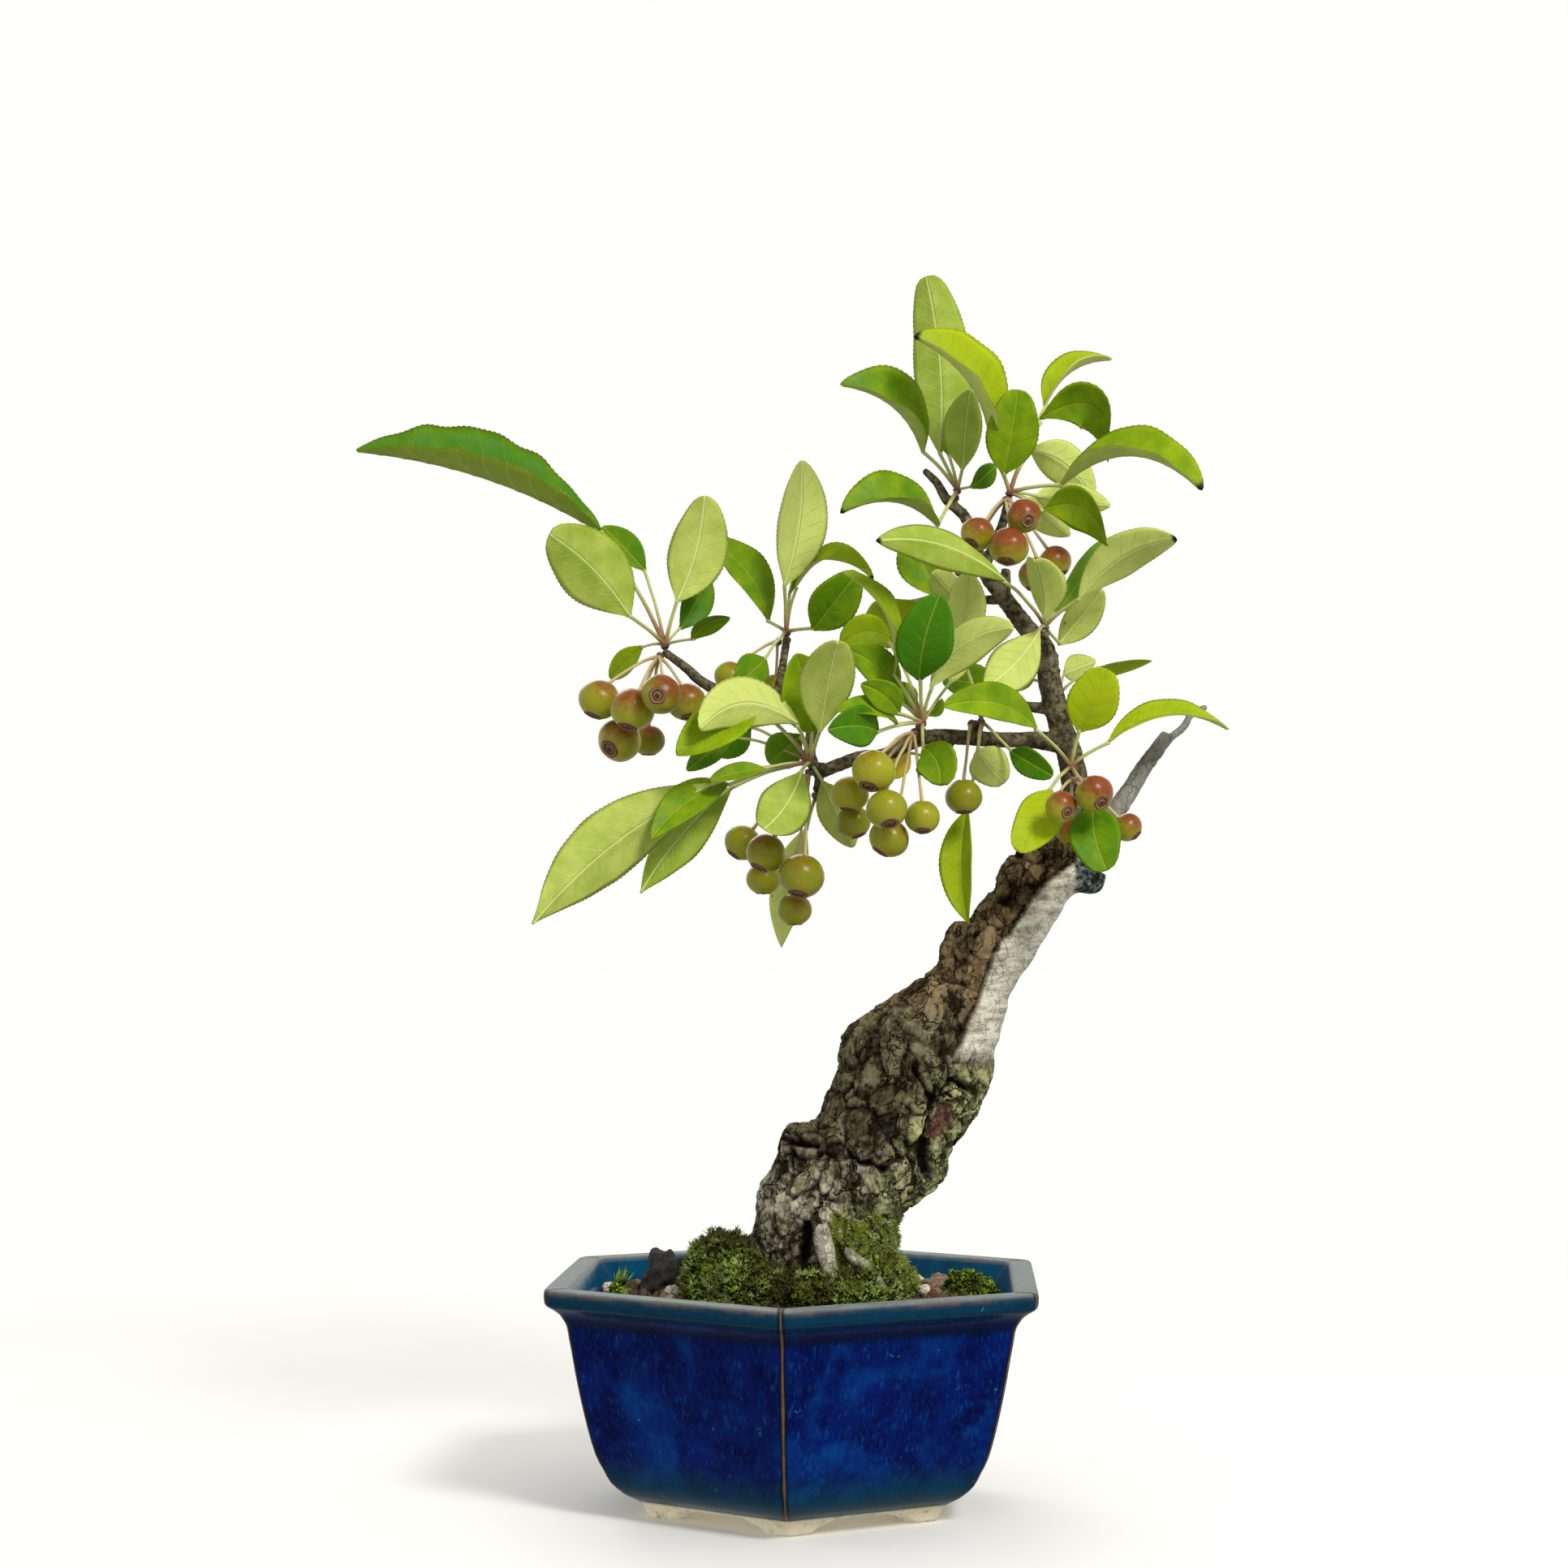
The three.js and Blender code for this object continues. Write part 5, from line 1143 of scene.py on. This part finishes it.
def add_shoot(shape, point, normal, length, width, fresh, dice):
    """A shoot of moss: pointed leaves from one foot."""
    tone = dice.random()
    for _ in range(MOSS_BLADES):
        lean = Vector((dice.gauss(0, 0.55), dice.gauss(0, 0.55), dice.gauss(0.15, 0.45)))
        way = (normal + lean).normalized()
        side = way.orthogonal().normalized()
        other = way.cross(side)
        half = width * dice.uniform(0.8, 1.4)
        foot = point - way * 0.4
        corners = [foot + (side * math.cos(turn) + other * math.sin(turn)) * half
                   for turn in (0.0, 2.094, 4.189)]
        tip = foot + way * (length * dice.uniform(0.7, 1.25))
        shape.add([*corners, tip], [(0, 2, 1), (0, 1, 3), (1, 2, 3), (2, 0, 3)],
                  tone=tone, fresh=fresh, along=[0, 0, 0, 1])


def soil_height(point):
    """The soil's surface: it rises towards the trunk and is uneven."""
    out = math.hypot(point.x, point.y) / SOIL_REACH
    return SOIL_EDGE + (SOIL_MIDDLE - SOIL_EDGE) * max(0, 1 - out) + 0.5 * noise.noise(point / 9)


def cushion(middle, radius, stretch):
    """A rounded body about a middle point."""
    levels = [-0.98, -0.85, -0.6, -0.3, 0, 0.3, 0.6, 0.85, 0.98]
    line = [middle + Vector((0, 0, level * radius * stretch[2])) for level in levels]
    radii = [radius * math.sqrt(1 - level ** 2) for level in levels]
    points, faces = tube(line, radii, 16)
    return [middle + Vector(((p.x - middle.x) * stretch[0], (p.y - middle.y) * stretch[1], p.z - middle.z))
            for p in points], faces


def make_moss(name, cushions, shoots, length, paint, voxel, slot, node, sprouts=0):
    """Moss cushions grown together, lumpy and covered with shoots. Sprouts are taller shoots on the top."""
    raw = Shape()
    for middle, radius, stretch in cushions:
        raw.add(*cushion(Vector(middle), radius, stretch))
    points, normals, faces = remeshed(raw, voxel)
    shape = Shape()
    moved = []
    for point, normal in zip(points, normals):
        clump = clump_share(point)
        at = point + normal * (3.2 * clump - 2.8 + 1.6 * noise.noise(point / 6.5)
                               + 1.5 * noise.fractal(point / 2.6, 0.8, 2, 3))
        at.z = max(at.z, soil_height(at) - 2.5)
        moved.append(at)
    # The cushion's skin under the shoots is marked low along them, so it is painted near black as the shade
    # under the shoots.
    shape.add(moved, faces, 0, tone=0.2, along=0.1, fresh=[freshness(point) for point in moved])
    dice = random.Random(name)
    faces_up = [face for face in faces if moved[face[0]].z > soil_height(moved[face[0]]) - 1]
    for _ in range(shoots):
        face = faces_up[int(dice.random() * len(faces_up))]
        corner = dice.randrange(len(face))
        point = moved[face[corner]].lerp(moved[face[(corner + 1) % len(face)]], dice.random())
        grown = 0.75 + 0.6 * noise.noise(point / 3.5)
        # Painted shade: shoots in the gaps between clumps get less freshness, so they come out duller and
        # darker.
        add_shoot(shape, point, normals[face[corner]], length * grown * dice.uniform(0.6, 1.3), MOSS_BLADE,
                  freshness(point) * (0.35 + 0.65 * clump_share(point)), dice)
    for _ in range(sprouts):
        middle, radius, _ = cushions[0]
        top = Vector(middle) + Vector((dice.uniform(-2, 2), dice.uniform(-2, 2), radius * 0.7))
        add_shoot(shape, top, Vector((0, 0, 1.5)), SPROUT_LENGTH, SPROUT_BLADE, 0.6, dice)
    shape.piece(name, [paint], slot, node)


def ball_of_triangles(detail):
    mesh = bmesh.new()
    bmesh.ops.create_icosphere(mesh, subdivisions=detail, radius=1)
    points = [vertex.co.copy() for vertex in mesh.verts]
    faces = [tuple(vertex.index for vertex in face.verts) for face in mesh.faces]
    mesh.free()
    return points, faces


BALLS = {detail: ball_of_triangles(detail) for detail in (2, 5)}


def rounded_stone(shape, middle, radius, stretch, dice, rough=0.16, detail=2):
    """A stone or a grain, from a ball of triangles pushed in and out."""
    seed = Vector((dice.uniform(0, 99), 0, 0))
    ways, faces = BALLS[detail]
    points = []
    for way in ways:
        push = 1 + rough * 2 * noise.noise(way * 1.1 + seed) + rough * 0.8 * noise.noise(way * 3 + seed)
        points.append(middle + way * Vector(stretch) * (radius * push))
    shape.add(points, faces, tone=dice.random())


def stone_paint(name, dark, light, pores):
    paint = Paint(name, roughness=0.9)
    colour = paint.mix(paint.between(paint.noise(1.6, 6, 0.65), 0.3, 0.7), dark, light)
    holes = paint.rest(paint.between(paint.cells(0.9), 0.12, 0.3))
    colour = paint.mix(paint.times(holes, pores), colour, dark)
    paint.set(base_color=colour)
    paint.bump(paint.math("SUBTRACT", paint.noise(0.6, 5), paint.times(holes, pores)), 0.5)
    return paint.material


def make_stones(paints):
    for name, middle, radius, stretch, slot in STONES:
        shape = Shape()
        rough = 0.34 if slot == "charred_bark" else 0.15
        rounded_stone(shape, Vector(middle), radius, stretch, random.Random(name), rough, 5)
        lowest = SOIL_EDGE - 1
        shape.points = [Vector((p.x, p.y, max(p.z, lowest))) for p in shape.points]
        shape.piece(f"{name}_surface", [paints[slot]], slot, name)


def soil_paint():
    paint = Paint("soil_grains", roughness=0.95, specular_ior_level=0.25)
    tone = paint.mark("tone")
    colour = paint.mix(paint.between(tone, 0.1, 0.5), (0.035, 0.024, 0.016), (0.14, 0.075, 0.036))
    colour = paint.mix(paint.between(tone, 0.75, 0.95), colour, (0.3, 0.26, 0.19))
    colour = paint.mix(paint.between(paint.noise(14, 4), 0.45, 0.65, 0, 0.5), colour, (0.07, 0.09, 0.02))
    colour = paint.mix(paint.between(paint.noise(0.8, 5), 0.3, 0.7, 0, 0.55), colour, (0.02, 0.014, 0.01))
    paint.set(base_color=colour)
    paint.bump(paint.noise(0.5, 5), 0.35)
    return paint.material


def make_soil(paint):
    shape = Shape()
    columns = 120
    points = []
    for radius, height in SOIL_PROFILE:
        points += [hexagon_point(radius, 360 * j / columns, height) for j in range(columns)]
    rings = 44
    for ring in range(1, rings):
        reach = SOIL_REACH * (1 - ring / rings)
        for j in range(columns):
            point = hexagon_point(reach, 360 * j / columns, 0)
            point.z = soil_height(point) + 0.7 * noise.fractal(point / 2.6, 0.7, 2, 3) * min(ring / 3, 1)
            points.append(point)
    points += [Vector((0, 0, SOIL_PROFILE[0][1])), Vector((0, 0, SOIL_MIDDLE))]
    shape.add(points, tube_faces(len(SOIL_PROFILE) + rings - 1, columns), tone=0.3)
    dice = random.Random("grains")
    for _ in range(GRAINS):
        turn, out = dice.uniform(0, 360), math.sqrt(dice.random())
        point = hexagon_point(out * (SOIL_REACH - 3), turn, 0)
        if (point - MOSS_MIDDLE).length < MOSS_REACH:
            continue
        radius = dice.choice(GRAIN_RADII)
        point.z = soil_height(point) + radius * 0.25
        rounded_stone(shape, point, radius, [dice.uniform(0.8, 1.2) for _ in range(3)], dice)
    shape.piece("soil_surface", [paint], "soil", "soil")


# The pot

def corner_angle(turn):
    """How far a direction, in degrees, lies from the nearest corner of the pot."""
    return (turn + 30) % 60 - 30


def hexagon_point(radius, turn, height, sharp=90):
    """A point of the pot's outline, turn degrees on from a corner. A higher sharp gives sharper corners."""
    sides = (max(math.cos(math.radians(turn % 60 - 30 + side)), 0) for side in (-60, 0, 60))
    reach = radius * math.cos(math.radians(30)) / sum(side ** sharp for side in sides) ** (1 / sharp)
    angle = math.radians(turn - 90 + POT_TURN)
    return Vector((reach * math.cos(angle), reach * math.sin(angle), height))


def arch_height(turn):
    """How high the pot's underside is above the surface: on it at the feet, and arched between them."""
    from_middle = math.tan(math.radians(30 - abs(corner_angle(turn)))) / math.tan(math.radians(30))
    from_corner = RING_SIDE * 0.5 * (1 - from_middle)
    rise = 0.45 * smoothstep(from_corner, FOOT_TIP, FOOT_TIP + 3)
    rise += 0.55 * smoothstep(from_corner, FOOT_TIP + 3, FOOT_TOP)
    return FOOT_HEIGHT * rise


def glaze_paint():
    paint = Paint("blue_glaze", specular_ior_level=0.05)
    edge, bare, height = paint.mark("edge"), paint.mark("bare"), paint.mark("height")
    rim, inside = paint.mark("rim"), paint.mark("inside")
    cloud = paint.noise(30, 3, 0.5, stretch=(1, 1, 0.9), bend=0.6)
    veil = paint.noise(12, 5, 0.7)
    deep = paint.mix(paint.between(veil, 0.35, 0.65), (0.0, 0.0015, 0.045), (0.0, 0.008, 0.105))
    royal = paint.mix(paint.between(veil, 0.3, 0.7), (0.0, 0.014, 0.13), (0.0, 0.045, 0.21))
    colour = paint.mix(paint.between(cloud, 0.5, 0.7, 0, 0.75), deep, royal)
    fur = paint.cells(1.5, "SMOOTH_F1", stretch=(1, 1, 0.3))
    drips = paint.times(paint.between(fur, 0.05, 0.42, 1, 0), paint.between(paint.noise(7, 4), 0.4, 0.66))
    colour = paint.mix(paint.times(drips, 0.45), colour, (0.002, 0.075, 0.24))
    hairs = paint.noise(0.9, 4, 0.7, stretch=(1, 1, 0.22), bend=0.3)
    colour = paint.mix(paint.between(hairs, 0.57, 0.7, 0, 0.35), colour, (0.004, 0.1, 0.26))
    foot = paint.between(paint.plus(height, paint.times(paint.noise(9, 4), 10)), 16, 32, 1, 0)
    teal = paint.mix(veil, (0.0, 0.014, 0.036), (0.002, 0.065, 0.095))
    colour = paint.mix(paint.times(foot, 0.85), colour, teal)
    low = paint.between(paint.plus(height, paint.times(paint.noise(4, 4), 4)), 9.5, 15, 1, 0)
    colour = paint.mix(paint.times(low, 0.6), colour, (0.018, 0.05, 0.045))
    band = paint.mix(paint.noise(5, 5, 0.7, stretch=(1, 1, 3)), (0.0, 0.01, 0.03), (0.003, 0.05, 0.085))
    colour = paint.mix(paint.between(height, 77.5, 80, 0, 0.92), colour, band)
    # Painted shade: the glaze is darkened in the hollow under the rim's flare, where shade falls.
    groove_shade = paint.times(paint.between(height, 71, 74.5), paint.between(height, 75.5, 78.5, 1, 0))
    colour = paint.mix(paint.times(groove_shade, 0.7), colour, (0.0, 0.004, 0.014))
    flecks = paint.cells(13, vector=paint.warped(2.5, 0.9, (1, 1, 0.6)))
    flecks = paint.between(flecks, 0.02, 0.034, 0.8, 0)
    curls = paint.noise(5, 2, 0.4, bend=1.5)
    curls = paint.times(paint.between(curls, 0.49, 0.497), paint.between(curls, 0.503, 0.51, 1, 0))
    curls = paint.times(curls, paint.between(paint.cells(15), 0.1, 0.13, 1, 0))
    flecks = paint.greater(flecks, paint.times(curls, 0.8))
    colour = paint.mix(paint.times(flecks, 0.7), colour, (0.1, 0.36, 0.42))
    inner = paint.mix(veil, (0.0, 0.02, 0.05), (0.003, 0.08, 0.17))
    colour = paint.mix(inside, colour, inner)
    worn = paint.mix(paint.noise(6, 6, 0.7), (0.05, 0.09, 0.1), (0.3, 0.31, 0.28))
    colour = paint.mix(paint.times(rim, 0.9), colour, worn)
    crest = paint.mix(paint.noise(5, 4), (0.09, 0.062, 0.042), (0.2, 0.13, 0.08))
    line = paint.times(paint.mark("brim"), paint.between(paint.noise(9, 4), 0.35, 0.65, 0.1, 0.6))
    colour = paint.mix(line, colour, crest)
    wander = paint.plus(edge, paint.times(paint.noise(6, 3), 0.8))
    colour = paint.mix(paint.between(wander, 1.0, 2.4, 0.9, 0), colour, (0.002, 0.004, 0.008))
    rust = paint.mix(paint.noise(7, 4), (0.05, 0.03, 0.014), (0.2, 0.125, 0.06))
    colour = paint.mix(paint.between(wander, 0.55, 1.1, 0.95, 0), colour, rust)
    clay = paint.mix(paint.noise(2.4, 5), (0.6, 0.52, 0.34), (0.86, 0.79, 0.6))
    grime = paint.between(paint.noise(5, 5, 0.7), 0.5, 0.72, 0, 0.7)
    clay = paint.mix(grime, clay, (0.13, 0.1, 0.055))
    specks = paint.between(paint.cells(1.5), 0.06, 0.14, 0.7, 0)
    clay = paint.mix(specks, clay, (0.06, 0.04, 0.025))
    colour = paint.mix(bare, colour, clay)
    wear = paint.greater(bare, paint.times(rim, 0.45))
    rough = paint.plus(paint.between(wear, 0, 1, 0.13, 0.85), paint.times(veil, 0.06))
    paint.set(base_color=colour, roughness=rough)
    ripple = paint.plus(paint.times(paint.noise(5, 3), 0.8), paint.times(hairs, 0.12))
    paint.bump(paint.plus(ripple, paint.times(paint.noise(0.8, 4), bare)), 0.35, 0.5)
    return paint.material


def make_pot(paint):
    side_turns = [*HALF_SIDE_TURNS, *(60 - turn for turn in HALF_SIDE_TURNS[-2:0:-1])]
    turns = [60 * side + turn for side in range(6) for turn in side_turns]
    columns = len(turns)
    rings, marks = [], {name: [] for name in ("edge", "bare", "height", "rim", "inside", "brim")}

    def ring(radius, height, bare=0.0, rim=0.0, inside=0.0, brim=0.0, sharp=90, arch=0.0, round_share=0.0):
        """Adds a ring of points: how far it follows the arches below and a circle, and its marks."""
        row = []
        for turn in turns:
            point = hexagon_point(radius, turn, height, sharp)
            if round_share:
                angle = math.radians(turn - 90 + POT_TURN)
                circle = Vector((radius * math.cos(angle), radius * math.sin(angle), height))
                point = point.lerp(circle, round_share)
            if arch:
                point.z = height + (arch_height(turn) - height) * arch
            point += Vector((point.x, point.y, 0)).normalized() * (0.25 * noise.noise(point / 31))
            row.append(point)
            from_corner = abs(radius * math.sin(math.radians(corner_angle(turn))))
            values = {"edge": 9 if inside else from_corner, "bare": bare, "height": point.z,
                      "rim": rim, "inside": inside, "brim": brim}
            for name, value in values.items():
                marks[name].append(value)
        rings.append(row)

    for share in (1, 0.8, 0.55, 0.25):
        ring(POT_OUTSIDE[0][0] - 2.5 * share, UNDERSIDE, bare=1, arch=share)
    for radius, height in curve(POT_OUTSIDE, 2):
        glazed = smoothstep(height, GLAZE_EDGE - 0.5, GLAZE_EDGE + 0.3)
        ring(radius, height, bare=1 - glazed, rim=smoothstep(height, POT_HEIGHT - 1.6, POT_HEIGHT),
             brim=bump_up(height, 85.8, 0.9), sharp=60 if height > 76 else 90)
    for radius in RIM_RADII:
        ring(radius, POT_HEIGHT + 0.05, rim=1, sharp=60)
    for radius, height in POT_INSIDE:
        ring(radius, height, rim=smoothstep(height, 85.5, 86.8), inside=1 - smoothstep(height, 86, 86.9),
             sharp=60, brim=0.8 * bump_up(height, 86, 0.5))
    ring(30, FLOOR_TOP, bare=1, inside=1, round_share=0.6)
    for height in (FLOOR_TOP, 8, UNDERSIDE):
        ring(DRAIN_RADIUS, height, bare=1, round_share=1)
    ring(30, UNDERSIDE, bare=1, round_share=0.6)
    for share in (0, 0.25, 0.55, 0.8, 1):
        ring(RING_INSIDE + share, UNDERSIDE, bare=1, arch=share)
    points = [point for row in rings for point in row]
    count = len(rings)
    faces = []
    for i in range(count):
        here, above = i * columns, (i + 1) % count * columns
        for j in range(columns):
            after = (j + 1) % columns
            faces.append((here + j, here + after, above + after, above + j))
    shape = Shape()
    shape.add(points, faces, 0, **marks)
    shape.piece("glazed_pot", [paint], "glaze", "pot")


# The floor, the light and the camera

def make_stage():
    """A pale floor that fades into the light behind it, so that no horizon shows."""
    mesh = bpy.data.meshes.new("floor")
    corners = ((-1, -1), (1, -1), (1, 1), (-1, 1))
    mesh.from_pydata([(x * FLOOR_REACH, y * FLOOR_REACH, -0.2 * MM) for x, y in corners], [], [(0, 1, 2, 3)])
    floor = bpy.data.objects.new("floor", mesh)
    bpy.context.scene.collection.objects.link(floor)
    paint = Paint("floor_paint", base_color=(0.86, 0.85, 0.82), roughness=0.75, specular_ior_level=0.1)
    away = paint.node("ShaderNodeVectorMath", operation="LENGTH")
    paint.feed(away.inputs[0], paint.place)
    glow = paint.node("ShaderNodeEmission")
    glow.inputs["Color"].default_value = (*BACKDROP, 1)
    blend = paint.node("ShaderNodeMixShader")
    paint.feed(blend.inputs[0], paint.between(away.outputs["Value"], *FLOOR_FADE))
    paint.tree.links.new(paint.shader.outputs[0], blend.inputs[1])
    paint.tree.links.new(glow.outputs[0], blend.inputs[2])
    paint.tree.links.new(blend.outputs[0], paint.tree.nodes["Material Output"].inputs["Surface"])
    mesh.materials.append(paint.material)
    floor.visible_diffuse = False
    floor.visible_glossy = False


def make_light(name, place, size, power, colour):
    data = bpy.data.lights.new(name, "AREA")
    data.shape = "RECTANGLE"
    data.size, data.size_y = size
    data.energy = power
    data.color = colour
    light = bpy.data.objects.new(name, data)
    light.location = place
    light.rotation_euler = (Vector(LIGHT_TARGET) - Vector(place)).to_track_quat("-Z", "Y").to_euler()
    bpy.context.scene.collection.objects.link(light)


def make_room():
    """Pale all round at the height of the eye, and dimmer above and below."""
    world = bpy.data.worlds.new("room")
    world.use_nodes = True
    tree = world.node_tree
    place = tree.nodes.new("ShaderNodeTexCoord")
    split = tree.nodes.new("ShaderNodeSeparateXYZ")
    ramp = tree.nodes.new("ShaderNodeValToRGB")
    scale = tree.nodes.new("ShaderNodeMapRange")
    scale.inputs["From Min"].default_value = -1
    tree.links.new(place.outputs["Generated"], split.inputs[0])
    tree.links.new(split.outputs["Z"], scale.inputs["Value"])
    tree.links.new(scale.outputs[0], ramp.inputs[0])
    tree.links.new(ramp.outputs[0], tree.nodes["Background"].inputs["Color"])
    stops = ramp.color_ramp.elements
    stops[0].position, stops[1].position = ROOM_LIGHT[0][0], ROOM_LIGHT[-1][0]
    for position, _ in ROOM_LIGHT[1:-1]:
        stops.new(position)
    for stop, (_, share) in zip(stops, ROOM_LIGHT):
        stop.color = (*(share * part for part in BACKDROP), 1)
    bpy.context.scene.world = world
    make_light("window", (0.75, -1.25, 1.3), (0.45, 0.45), 26, (1.0, 0.985, 0.95))
    make_light("behind", (-0.3, 1.3, 1.1), (1.2, 0.8), 8, (1.0, 0.99, 0.95))


def make_camera():
    data = bpy.data.cameras.new("camera")
    data.sensor_fit = "HORIZONTAL"
    data.angle = math.radians(FIELD_OF_VIEW)
    data.clip_start = 0.01
    camera = bpy.data.objects.new("camera", data)
    camera.location = EYE * MM
    camera.rotation_euler = (math.radians(90 + CAMERA_PITCH), 0, 0)
    bpy.context.scene.collection.objects.link(camera)
    bpy.context.scene.camera = camera


bpy.context.scene.view_settings.view_transform = "Standard"
make_camera()
make_room()
make_stage()

make_pot(glaze_paint())
make_soil(soil_paint())
mound_moss = moss_paint("mound_moss", ((0.07, 0.065, 0.014), (0.22, 0.32, 0.016), (0.66, 0.74, 0.36)))
bright_moss = moss_paint("clump_moss", ((0.12, 0.15, 0.02), (0.24, 0.44, 0.01), (0.55, 0.7, 0.12)))
make_moss("moss_mound", MOSS_CUSHIONS, MOSS_SHOOTS, 3.3, mound_moss, 1.0, "moss", "moss")
make_moss("moss_cushion_right", [MOSS_CLUMP], TUFT_SHOOTS, 1.8, bright_moss, 0.8, "moss", "moss_clump")
make_moss("moss_cushion_left", [MOSS_TUFT], TUFT_SHOOTS // 2, 2.2, bright_moss, 0.7, "moss", "moss_tuft",
          SPROUTS)
make_stones({"pumice": stone_paint("pumice_stone", (0.42, 0.33, 0.22), (0.86, 0.8, 0.68), 0.7),
             "brown_stone": stone_paint("lava_stone", (0.09, 0.05, 0.03), (0.33, 0.22, 0.15), 0.5),
             "charred_bark": stone_paint("dark_bark", (0.004, 0.004, 0.004), (0.035, 0.033, 0.03), 0.6)})
make_trunk(bark_paint(), mound_moss)

leaf_paints = [
    leaf_paint("leaf_upper", ((0.04, 0.16, 0.001), (0.33, 0.42, 0.004)), (0.38, 0.47, 0.04), 0.3, 0.42, 0.2),
    leaf_paint("leaf_under", ((0.21, 0.295, 0.01), (0.53, 0.6, 0.15)), (0.68, 0.76, 0.3), 0.5, 0.6, 0.3),
    stalk_paint("petiole", (0.46, 0.5, 0.16), (0.3, 0.05, 0.035), (0.2, 0.1, 0.04)), bud_paint()]
yellow_paints = [
    leaf_paint("yellow_leaf_upper", ((0.62, 0.5, 0.02), (0.75, 0.62, 0.04)),
               (0.8, 0.72, 0.2), 0.5, 0.45, 0.2),
    leaf_paint("yellow_leaf_under", ((0.66, 0.55, 0.06), (0.75, 0.65, 0.1)),
               (0.8, 0.74, 0.3), 0.6, 0.55, 0.3),
    leaf_paints[2], leaf_paints[3]]
for spur in LEAVES:
    make_rosette(spur, yellow_paints if spur == "low" else leaf_paints)

fruit_paints = [
    fruit_paint(), stalk_paint("fruit_stalk", (0.5, 0.4, 0.17), (0.4, 0.3, 0.1), (0.24, 0.14, 0.06)),
    leaf_paints[3]]
for spur in FRUITS:
    make_bunch(spur, fruit_paints)
